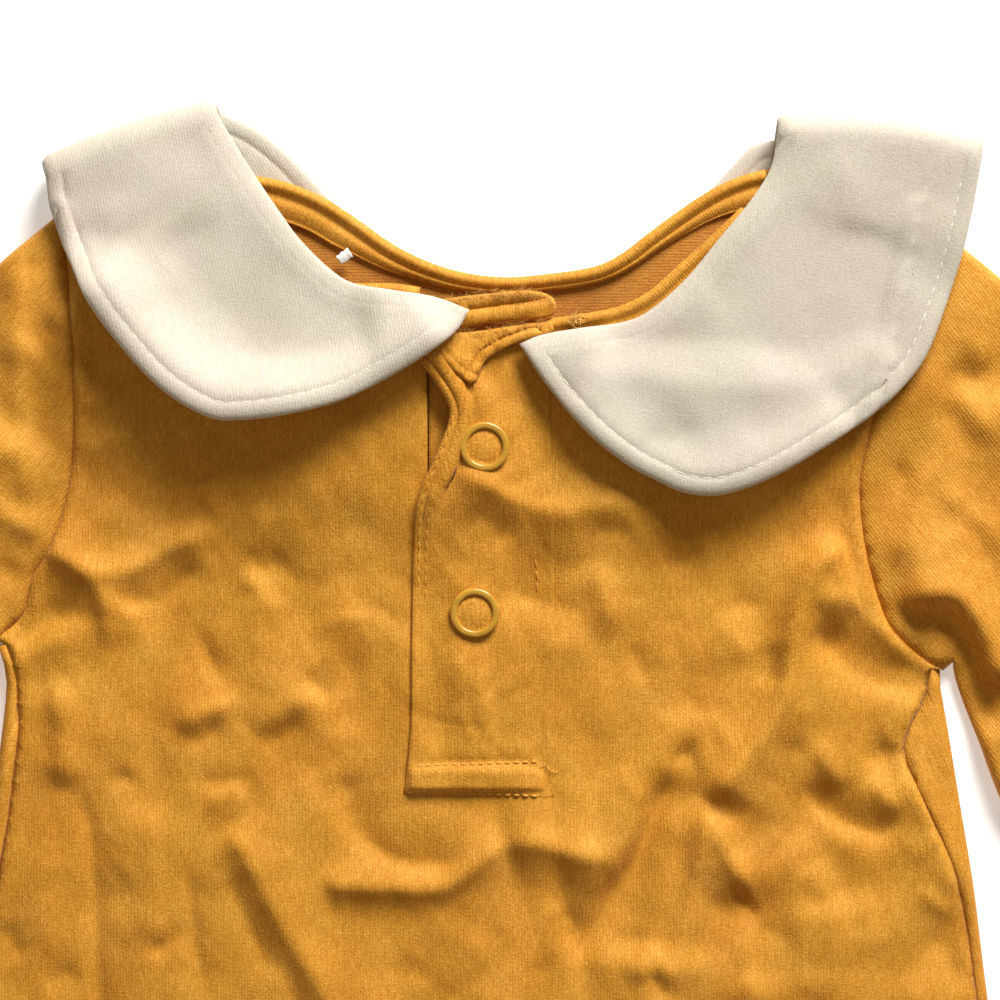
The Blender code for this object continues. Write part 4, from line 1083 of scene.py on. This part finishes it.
# %% Collar
STITCH_INSET = 3.6
COLLAR_DENTS = """
166,225 205,288 245,330 300,350 390,338 | -2.2 9.5 8
246,176 290,234 330,274 404,304 | 0.8 4 4
110,190 120,250 160,320 | 0.7 8 6
250,392 320,388 390,362 | 0.7 4 5
584,340 660,340 720,341 790,336 852,292 880,226 | -1.8 8.5 6
560,372 640,378 720,388 820,382 892,336 | 1 6 7
636,430 665,443 704,424 | -0.9 5 5
700,302 762,266 816,206 | -1.1 6 6
830,150 850,200 846,250 | 0.7 6 6
730,440 790,420 850,380 | -0.5 5 5
920,200 915,260 890,320 | 0.6 5 5
"""
DENT_LINES = crease_lines(COLLAR_DENTS, 4.0, picture)
LOWER_EDGES = [spline(half["front_edge"][3:], 3.0) for half in (COLLAR_LEFT, COLLAR_RIGHT)]
NECK_DROP = 1.1           # how much lower the collar lies along the neck


def collar_height(points):
    """Middle of the collar's front half. It climbs where it crosses the placket."""
    past_slit = np.maximum(points[:, 0] - SLIT_RIGHT - 1.0, SLIT_LEFT - 4.0 - points[:, 0])
    near = smooth(1.0 - np.maximum(past_slit, 0.0) / 24.0)
    wave = 1.0 + np.sin(points[:, 0] / 15.0 + points[:, 1] / 19.0)
    above = 0.4 + 2.3 * near + 0.9 * wave * (1.0 - near)
    edge = np.min([measure(points, line)[0] for line in LOWER_EDGES], axis=0)
    lifted = np.where(points[:, 0] < 0, 5.4, 1.7) * smooth(1.0 - edge / 15.0) * (1.0 - 0.6 * near)
    dents = (creased(points, DENT_LINES) + ripples(points, 18.0, 0.18, 8)
             + crumple(points, 12.0, 0.08, 9))
    above = above + lifted + dents
    clear = 0.35 + np.logaddexp(0.0, (above - 0.35) * 3.0) / 3.0
    return front_height(points) + (CLOTH + COLLAR_CLOTH) / 2 + clear


def neck_drop(distance):
    """How far the collar sinks at a distance from the neck."""
    return NECK_DROP * (1.0 - smooth(distance / 4.5))


def make_collar(name, half, grain, bow):
    start, end = (np.array(point) for point in half["fold"])
    run = (end - start) / np.linalg.norm(end - start)
    out = np.array([-run[1], run[0]])
    if out[1] < 0:
        out = -out
    level = float(collar_height(((start + end) / 2)[None])[0])
    radius = (level - COLLAR_CLOTH / 2) / 2
    band = math.pi * radius
    fold_length = np.linalg.norm(end - start)

    def unfold(points):
        past = (points - start) @ out
        return points - 2 * past[:, None] * out + out * band

    def place(points):
        past = (points - start) @ out
        foot = points - past[:, None] * out
        plan = np.where((past <= 0)[:, None], points, foot)
        beyond = past >= band
        plan[beyond] = foot[beyond] - (past[beyond] - band)[:, None] * out
        turning = (past > 0) & ~beyond
        turned = past[turning] / radius
        plan[turning] = foot[turning] + (radius * np.sin(turned))[:, None] * out
        z = np.full(len(points), COLLAR_CLOTH / 2)
        z[past <= 0] = collar_height(points[past <= 0])
        top = collar_height(foot[turning])
        z[turning] = top - (top - COLLAR_CLOTH / 2) * (1 - np.cos(turned)) / 2
        # The fold is not quite straight: it bows outwards in its middle.
        share = np.clip((points - start) @ run / fold_length, 0.0, 1.0)
        near = smooth(1.0 + np.minimum(past, band - past) / 9.0)
        plan += (bow * np.sin(math.pi * share) * near)[:, None] * out
        return np.column_stack([plan, z])

    step = 1.5
    arc = np.linspace(0.0, band, 9)[1:-1, None] * out
    back_neck = unfold(spline(half["back_neck"], step))
    back_edge = unfold(spline(half["back_edge"], step))
    outline = np.vstack([spline(half["front_neck"], step), end + arc, back_neck,
                         spline([back_neck[-1], back_edge[0]], step)[1:-1], back_edge,
                         start + arc[::-1], spline(half["front_edge"], step)[:-1]])
    if name == "collar_right":
        outline = outline[::-1]
    folds = [spline([start, end], step) + shift
             for shift in np.linspace(0.0, band, 9)[:, None, None] * out]
    flat, faces = facets(outline, 1.7, (0.2, 0.6, 1.2, 2.0, 2.8, 3.3, 3.6, 3.9, 4.5), folds)
    inside = measure(flat, closed(outline))[0]
    thickness = edge_taper(flat, outline, COLLAR_CLOTH, 1.5, 0.35)
    neck = measure(flat, spline(half["front_neck"], 3.0))[0]
    stitched = smooth((neck - 2.0) / 4.0)
    thickness -= 0.55 * stitched * np.exp(-((inside - STITCH_INSET) / 0.5) ** 2)
    thickness += 0.1 * stitched * np.exp(-((inside - 2.0) / 1.2) ** 2)
    placed = place(flat)
    rolled = (flat - start) @ out <= 0
    placed[rolled, 2] -= neck_drop(neck[rolled])
    collar = wall(name + "_cloth", placed, faces, thickness, spun(flat, grain), CREAM_FACE)
    dress(collar, name)


make_collar("collar_left", COLLAR_LEFT, 12.0, 0.9)
make_collar("collar_right", COLLAR_RIGHT, -10.0, 1.8)

# %% [markdown]
# ## The placket
#
# The slit is bound with two strips. The underlap fills the slit, and the overlap lies on it
# and holds the snaps. Its free edge is folded double and stands up a little, and its other
# edge runs into the front. The ends of the neck binding finish both strips as short tabs.

# %% Placket
UNDERLAP_TOP = (102.5, 100.0)
OVERLAP = path("14.6,5.6 14.6,40 14.2,70 13.4,103.4 5,102.6 -2,101.4 -8,100.4 -14.4,98.2 "
               "-9.6,91.8 -7.2,86 -9.8,78 -13.4,70 -14.8,62 -15.4,40 -15.6,20 -17,6.4")
OVERLAP_TAB = path("14,105.4 7,104.6 -2,103.3 -10.8,102.4 -10.4,99.2 -5.8,94.4 -2.2,92.6 "
                   "0.2,97.2 4.6,100 10,102 14.2,103.2")
UNDERLAP_TAB = path("-8.6,110.2 2,111.4 10,111.8 14,110.6 15,108 12.6,106.2 4,105.6 "
                    "-3,104.6 -11.2,103.6 -11.4,107")
PLACKET_CREASES = """
8,92 7,88 6,84 4,79 | 0.5 1.2 2
-8,76 -2,72 8,69 | 0.5 2.5 3.5
-14.6,12.9 0,13.1 11.6,13.3 | -0.45 1.4 0.6
-15.2,12 -16.2,9.6 -17,7 | -0.35 0.5 0.5
12.8,26 13,20 13.2,14.4 | 0.25 0.7 0.7
10.6,56 11,52 11,47 | 0.22 0.7 0.7
"""
PLACKET_LINES = crease_lines(PLACKET_CREASES, 3.0)
free_edge = spline(OVERLAP[7:], 1.0)


def overlap_parts(points):
    """Middle height and thickness of the overlap."""
    away = measure(points, free_edge)[0]
    upper = smooth((points[:, 1] - 58.0) / 16.0)
    # The folded edge: a narrow band, a groove, a wider roll, then the flat cloth.
    band = (0.05 + 0.45 * upper) * np.exp(-((away - 0.9) / 0.7) ** 4)
    groove = -(0.04 + 0.38 * upper) * np.exp(-((away - 1.75) / 0.35) ** 2)
    roll = 0.9 * upper * np.exp(-((away - 3.0) / 1.25) ** 4)
    beyond = -0.5 * upper * np.exp(-((away - 5.2) / 1.2) ** 2)
    box = smooth((points[:, 1] - 6.4) / 1.6) * smooth((12.5 - points[:, 1]) / 1.6)
    box *= smooth((13.0 - points[:, 0]) / 1.6) * smooth((points[:, 0] + 16.4) / 1.6)
    runs_in = np.maximum(smooth((points[:, 0] + 3.0) / 16.0), smooth((8.0 - points[:, 1]) / 2.4))
    under_tab = smooth((points[:, 1] - 90.0) / 5.0) * smooth((points[:, 0] + 9.0) / 5.0)
    height = 0.95 + 0.8 * upper
    height += ((0.5 - height) * runs_in + creased(points, PLACKET_LINES) + band + groove + roll
               + beyond)
    height += 0.85 * box
    height -= 0.7 * under_tab * (1 - runs_in)
    thickness = 0.9 + 0.8 * upper
    return front_height(points) + height, thickness + (0.2 - thickness) * runs_in


def flat_piece(name, outline, cell, height, thickness, roll, rings=(0.3, 0.8, 1.5)):
    """A small flat-laid piece with rounded edges, which stands for the solid of its name."""
    flat, faces = facets(outline, cell, rings=rings)
    taper = edge_taper(flat, outline, 1.0, roll, 0.2)
    piece = wall(name + "_cloth", np.column_stack([flat, height(flat)]), faces,
                 thickness(flat) * taper, flat, MUSTARD_FACE)
    dress(piece, name)


box = [(SLIT_LEFT + 0.15, SLIT_BOTTOM + 0.2), (SLIT_RIGHT - 0.15, SLIT_BOTTOM + 0.2),
       (SLIT_RIGHT - 0.15, UNDERLAP_TOP[1]), (SLIT_LEFT + 0.15, UNDERLAP_TOP[0])]
outline = joined([[a, b] for a, b in zip(box, box[1:] + box[:1])], 2.0)
flat_piece("placket_underlap", outline, 2.4,
           lambda p: front_height(p) - 0.2 - 1.1 * smooth((p[:, 1] - 52.0) / 14.0),
           lambda p: np.full(len(p), 0.9), 0.5)
outline = joined([OVERLAP[:4], OVERLAP[3:8], OVERLAP[7:], [OVERLAP[-1], OVERLAP[0]]], 1.0)
flat_piece("placket_overlap", outline, 0.8, lambda p: overlap_parts(p)[0],
           lambda p: overlap_parts(p)[1], 0.8,
           (0.2, 0.5, 0.9, 1.3, 1.6, 1.9, 2.3, 2.8, 3.3, 3.9, 4.5))


def tab_wrinkles(points, seed):
    return ripples(points, 5.0, 0.16, seed) + ripples(points, 2.2, 0.06, seed + 1)


tab_edge = spline(OVERLAP_TAB[6:10], 0.6)
tab_side = spline(OVERLAP_TAB[4:7], 0.6)


def overlap_tab_height(points):
    """The tab's lower edge is a stitched roll, and its side is turned in."""
    edge, side = measure(points, tab_edge)[0], measure(points, tab_side)[0]
    roll = 0.55 * np.exp(-((edge - 0.9) / 0.75) ** 4) - 0.5 * np.exp(-((edge - 2.0) / 0.3) ** 2)
    turned = 0.25 * np.exp(-((side - 0.7) / 0.6) ** 2) - 0.25 * np.exp(-((side - 1.5) / 0.3) ** 2)
    return front_height(points) + 2.35 + tab_wrinkles(points, 21) + roll + turned


outline = joined([OVERLAP_TAB + OVERLAP_TAB[:1]], 0.7)
flat_piece("overlap_tab", outline, 0.55, overlap_tab_height, lambda p: np.full(len(p), 1.2), 0.8,
           (0.15, 0.4, 0.8))
slot_line = spline(path("-3,108 3.2,108.8 8,109.5 12.4,110.2"), 0.6)


def underlap_tab_height(points):
    """Two soft lips with the dark slit between them."""
    away = measure(points, slot_line)[0]
    lips = 0.5 * np.exp(-((away - 1.6) / 1.1) ** 2) - 1.3 * np.exp(-(away / 0.42) ** 2)
    return front_height(points) + 1.0 + tab_wrinkles(points, 31) * 0.6 + lips


outline = joined([UNDERLAP_TAB + UNDERLAP_TAB[:1]], 0.7)[::-1]
flat_piece("underlap_tab", outline, 0.5, underlap_tab_height, lambda p: np.full(len(p), 1.5), 1.0,
           (0.15, 0.4, 0.8))

# %% [markdown]
# ## Snaps
#
# A ring snap is an enamelled metal ring, pressed through the cloth, with the cloth showing in
# its middle. The ring is a disc with its middle cut out and its rims rounded: a low,
# flat-topped roll. A small dome of jersey fills it.

# %% Ring snaps
SNAP_CENTRES = {"snap_ring_upper": (0.0, 79.2), "snap_ring_lower": (-2.1, 44.4)}
RING_OUTER, RING_INNER, RING_DEPTH = 5.2, 3.7, 1.3
RING_ROUNDING = 0.52
RING_LIFT = 0.35          # height of the ring's middle over the overlap


def clear_selection():
    if bpy.context.mode != "OBJECT":
        bpy.ops.object.mode_set(mode="OBJECT")
    bpy.ops.object.select_all(action="DESELECT")


def activate(piece):
    clear_selection()
    piece.select_set(True)
    bpy.context.view_layer.objects.active = piece


def select_ends(piece):
    """Enter edit mode with the two flat ends of a cylinder selected."""
    bpy.ops.object.mode_set(mode="EDIT")
    bpy.ops.mesh.select_mode(type="FACE")
    bpy.ops.mesh.select_all(action="DESELECT")
    bpy.ops.object.mode_set(mode="OBJECT")
    for face in piece.data.polygons:
        face.select = abs(face.normal.z) > 0.5
    bpy.ops.object.mode_set(mode="EDIT")


def face_outwards():
    """Turn all faces outwards and leave edit mode."""
    bpy.ops.mesh.select_all(action="SELECT")
    bpy.ops.mesh.normals_make_consistent(inside=False)
    bpy.ops.object.mode_set(mode="OBJECT")


def model_ring():
    """A disc with its middle cut out and its rims rounded."""
    clear_selection()
    bpy.ops.mesh.primitive_cylinder_add(vertices=48, radius=RING_OUTER * MM, depth=RING_DEPTH * MM)
    ring = bpy.context.object
    select_ends(ring)
    bpy.ops.mesh.inset(thickness=(RING_OUTER - RING_INNER) * MM)
    bpy.ops.mesh.delete(type="FACE")
    bpy.ops.mesh.select_mode(type="EDGE")
    bpy.ops.mesh.select_non_manifold()
    bpy.ops.mesh.bridge_edge_loops()
    face_outwards()
    bevel = ring.modifiers.new("bevel", "BEVEL")
    bevel.width, bevel.segments, bevel.limit_method = RING_ROUNDING * MM, 4, "ANGLE"
    bpy.ops.object.modifier_apply(modifier=bevel.name)
    bpy.ops.object.shade_smooth()
    ring.data.materials.append(ENAMEL)
    return ring


ring = model_ring()
print("ring faces", len(ring.data.polygons))

# %% Ring snaps in their places
for ring_name, centre in SNAP_CENTRES.items():
    spot = np.array([centre])
    level = float(overlap_parts(spot)[0][0] + overlap_parts(spot)[1][0] / 2)
    activate(ring)
    bpy.ops.object.duplicate()
    snap = bpy.context.object
    snap.name = ring_name + "_enamel"
    snap.location = (centre[0] * MM, centre[1] * MM, (level + RING_LIFT) * MM)
    bpy.ops.object.transform_apply(location=True, rotation=True, scale=True)
    dress(snap, ring_name)

    turns = np.linspace(0, 2 * math.pi, 48, endpoint=False)
    edge = np.column_stack([np.cos(turns), np.sin(turns)]) * (RING_INNER + 0.3) + centre
    flat, faces = facets(edge, 0.45)
    away = np.linalg.norm(flat - centre, axis=1) / RING_INNER
    dome = level + 0.1 + 0.5 * np.clip(1 - away ** 2, 0, 1)
    cap = wall(ring_name + "_jersey", np.column_stack([flat, dome]), faces, 0.3, 0.65 * flat,
               MUSTARD_FACE)
    dress(cap)
bpy.data.objects.remove(ring)

# %% [markdown]
# ## Stitches
#
# One stitch is a short bar of thread: a six-sided cylinder whose ends are inset and pushed
# out, which rounds them. It is modelled once, and copied along each line a stitch apart,
# tilted to follow the cloth under it.

# %% One stitch
clear_selection()
bpy.ops.mesh.primitive_cylinder_add(vertices=6, radius=1.0, depth=0.64)
bar = bpy.context.object
select_ends(bar)
bpy.ops.mesh.inset(thickness=0.6, depth=0.18)
bpy.ops.object.mode_set(mode="OBJECT")
BAR_POINTS = np.array([tuple(vertex.co) for vertex in bar.data.vertices])
BAR_FACES = [tuple(face.vertices) for face in bar.data.polygons]
bpy.data.objects.remove(bar)
print("stitch faces", len(BAR_FACES))

# %% Rows of stitches
def stitch_row(name, line, height, length, radius, gap=0.6, thread=MUSTARD_THREAD):
    """Copies of the stitch along a line in plan. height gives the cloth's top."""
    lengths = line_lengths(line)
    count = int(lengths[-1] / (length + gap))
    starts = (np.arange(count) + 0.15) * (length + gap)
    share_a, share_b = starts / lengths[-1], np.minimum((starts + length) / lengths[-1], 1.0)
    ends = [along(line, share_a), along(line, share_b)]
    low, high = (np.column_stack([end, height(end)]) for end in ends)
    points, faces = [], []
    for a, b in zip(low, high):
        run = b - a
        flat_left = np.array([-run[1], run[0], 0.0])
        flat_left /= max(np.linalg.norm(flat_left), 1e-9)
        up = np.cross(run / max(np.linalg.norm(run), 1e-9), flat_left)
        first = len(points) * len(BAR_POINTS)
        faces += [tuple(first + corner for corner in face) for face in BAR_FACES]
        sunk = 0.3 * radius - 0.45 * np.abs(BAR_POINTS[:, 2:]) ** 2
        points.append((a + b) / 2 + BAR_POINTS[:, 2:] * run + sunk * up
                      + radius * (BAR_POINTS[:, :1] * flat_left + BAR_POINTS[:, 1:2] * up))
    activate(add_mesh(name, np.vstack(points), faces, thread))
    bpy.ops.object.mode_set(mode="EDIT")
    face_outwards()
    bpy.ops.object.shade_smooth()
    dress(bpy.context.object)
    print(name, "stitches", count)


def collar_top(points):
    half = COLLAR_RIGHT if points[:, 0].mean() > 0 else COLLAR_LEFT
    neck = measure(points, spline(half["front_neck"], 3.0))[0]
    return collar_height(points) - neck_drop(neck) + (COLLAR_CLOTH - 0.55) / 2


for name, half, direction in (("left", COLLAR_LEFT, 1.0), ("right", COLLAR_RIGHT, -1.0)):
    line = beside(spline(half["front_edge"], 1.0), direction * STITCH_INSET)[6:-5]
    stitch_row("collar_" + name + "_topstitch", line, collar_top, 2.1, 0.13, 0.7, CREAM_THREAD)


def overlap_top(points):
    height, thickness = overlap_parts(points)
    return height + thickness / 2


def front_top(points):
    return front_height(points) + 0.48


# line, length of a stitch, radius of the thread
PLACKET_ROWS = {
    "placket_edge_stitch": ("-6.4,86 -8.8,78.4 -12.3,70.4 -13.6,62 -14,48", 1.9, 0.15),
    "placket_inner_stitch": ("-10.8,69.6 -12.1,61.6 -12.5,46.6", 1.9, 0.15),
    "placket_box_top_stitch": ("-14.6,12.3 0,12.7 11.6,13.1", 1.25, 0.3),
    "placket_box_bottom_stitch": ("-16.4,6.7 0,6.3 12.6,5.9", 1.25, 0.3),
    "placket_seam_stitch": ("10.6,56 11,52 11,47", 1.9, 0.15),
}
for name, (line, length, radius) in PLACKET_ROWS.items():
    stitch_row(name, spline(path(line), 1.0), overlap_top, length, radius)

HEM_STITCH, HEM_THREAD = 2.4, 0.18
HEM_INSETS, CUFF_INSETS = (HEM_DEPTH, 15.0), (11.0, 14.0)
for number, inset in enumerate(HEM_INSETS):
    y = HEM_Y + inset
    stitch_row(f"hem_stitch_{number}", spline([(-112.0, y), (0.0, y), (110.0, y)], 2.0), front_top,
               HEM_STITCH, HEM_THREAD)
for side, edges in (("right", (SLEEVE_RIGHT_OUTER, SLEEVE_RIGHT_INNER)),
                    ("left", (SLEEVE_LEFT_OUTER, SLEEVE_LEFT_INNER))):
    curves = [spline(edge, 1.0)[::-1] for edge in edges]
    for number, inset in enumerate(CUFF_INSETS):
        start, end = (along(curve, [inset / line_lengths(curve)[-1]])[0] for curve in curves)
        short = 0.03 * (end - start)
        stitch_row(f"cuff_{side}_stitch_{number}", spline([start + short, end - short], 2.0),
                   front_top, HEM_STITCH, HEM_THREAD)

# %% [markdown]
# ## The cut label and the loose threads
#
# Someone has cut the label out of the back neck, and a stub of white tape is left in the
# binding. Beside the placket a little bar of thread closes the binding, and the raw tabs are
# fuzzy with wear.

# %% Stub, knot and fuzz
stub_centre = np.array([-29.4, 119.2])
stub_outline = path("-1.5,-1.1 -0.7,-1 0,-1.25 0.8,-0.95 1.5,-1.1 1.45,0 1.55,1.1 0.6,0.9 "
                    "-0.1,1.15 -0.8,0.85 -1.5,1.1 -1.55,0.1")
outline = spun(np.array(stub_outline), -35.0) + stub_centre
flat, faces = facets(outline, 0.35)
stub_level = float(back_height(stub_centre[None])[0]) + 3.1
middle = np.column_stack([flat, stub_level + ripples(flat, 2.2, 0.28, 51)])
stub = wall("label_stub_tape", middle, faces, 0.35, flat, TAPE)
dress(stub, "label_stub")


def fibres(name, spots, count, length, radius, paint, seed, rise=0.6):
    """Short bent fibres of three sides, standing on (x, y, z) spots in millimetres."""
    dice = np.random.default_rng(seed)
    points, faces = [], []
    for _ in range(count):
        root = spots[dice.integers(len(spots))] + dice.normal(0.0, 0.35, 3) * [1, 1, 0.2]
        heading = dice.uniform(0, 2 * math.pi)
        bend = dice.uniform(-1.6, 1.6)
        reach = length * dice.uniform(0.5, 1.4)
        lift = rise * dice.uniform(0.2, 1.2)
        first = len(points)
        rows = 5
        for row in range(rows):
            t = row / (rows - 1)
            angle = heading + bend * t
            centre = root + [reach * t * math.cos(angle), reach * t * math.sin(angle),
                             lift * math.sin(math.pi * min(t * 0.8, 1.0))]
            size = radius * (1.0 - 0.6 * t)
            for k in range(3):
                turn = 2 * math.pi * k / 3
                points.append(centre + size * np.array([-math.sin(angle) * math.cos(turn),
                                                        math.cos(angle) * math.cos(turn),
                                                        math.sin(turn)]))
        for row in range(rows - 1):
            for k in range(3):
                one, after = first + row * 3, (k + 1) % 3
                faces.append((one + k, one + after, one + 3 + after, one + 3 + k))
        faces.append((first + 2, first + 1, first))
        last = first + (rows - 1) * 3
        faces.append((last, last + 1, last + 2))
    piece = add_mesh(name, np.array(points), faces, paint)
    piece.data.polygons.foreach_set("use_smooth", np.ones(len(faces), bool))
    print(name, "fibres", count)
    return dress(piece)


knot_centre = np.array([18.6, 105.6])
knot_level = float(front_height(knot_centre[None])[0]) + 1.3
knot_spots = np.array([[knot_centre[0] + x, knot_centre[1] + 0.3 * x, knot_level]
                       for x in np.linspace(-1, 1, 9)])
knot = fibres("thread_knot_strands", knot_spots, 60, 1.3, 0.1, MUSTARD_FUZZ_PAINTED_HIGHLIGHT, 9, 0.7)
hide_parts("thread_knot")


def spots_on(line, height, above):
    """Places along a line in plan, a little above a height."""
    return np.column_stack([line, height(line) + above])


tab_line = spline(path("-9,109.6 0,110.8 9,111.2 14,109.6"), 0.6)
fibres("underlap_tab_fuzz", spots_on(tab_line, underlap_tab_height, 0.9), 420, 1.3, 0.032,
       MUSTARD_FUZZ_PAINTED_HIGHLIGHT, 11)
tab_line = spline(path("-10.6,102 -2,102.9 7,104 13,104.8"), 0.6)
fibres("overlap_tab_fuzz", spots_on(tab_line, front_height, 2.4), 360, 1.2, 0.032, MUSTARD_FUZZ_PAINTED_HIGHLIGHT, 12)
fibres("overlap_tab_corner_threads", spots_on(np.array([[-2.4, 93.2]]), front_height, 2.6), 16, 1.2,
       0.06, MUSTARD_THREAD, 13)
fibres("placket_box_thread_end", spots_on(np.array([[12.6, 12.6]]), overlap_top, 0.1), 5, 3.2, 0.09,
       MUSTARD_THREAD, 14)
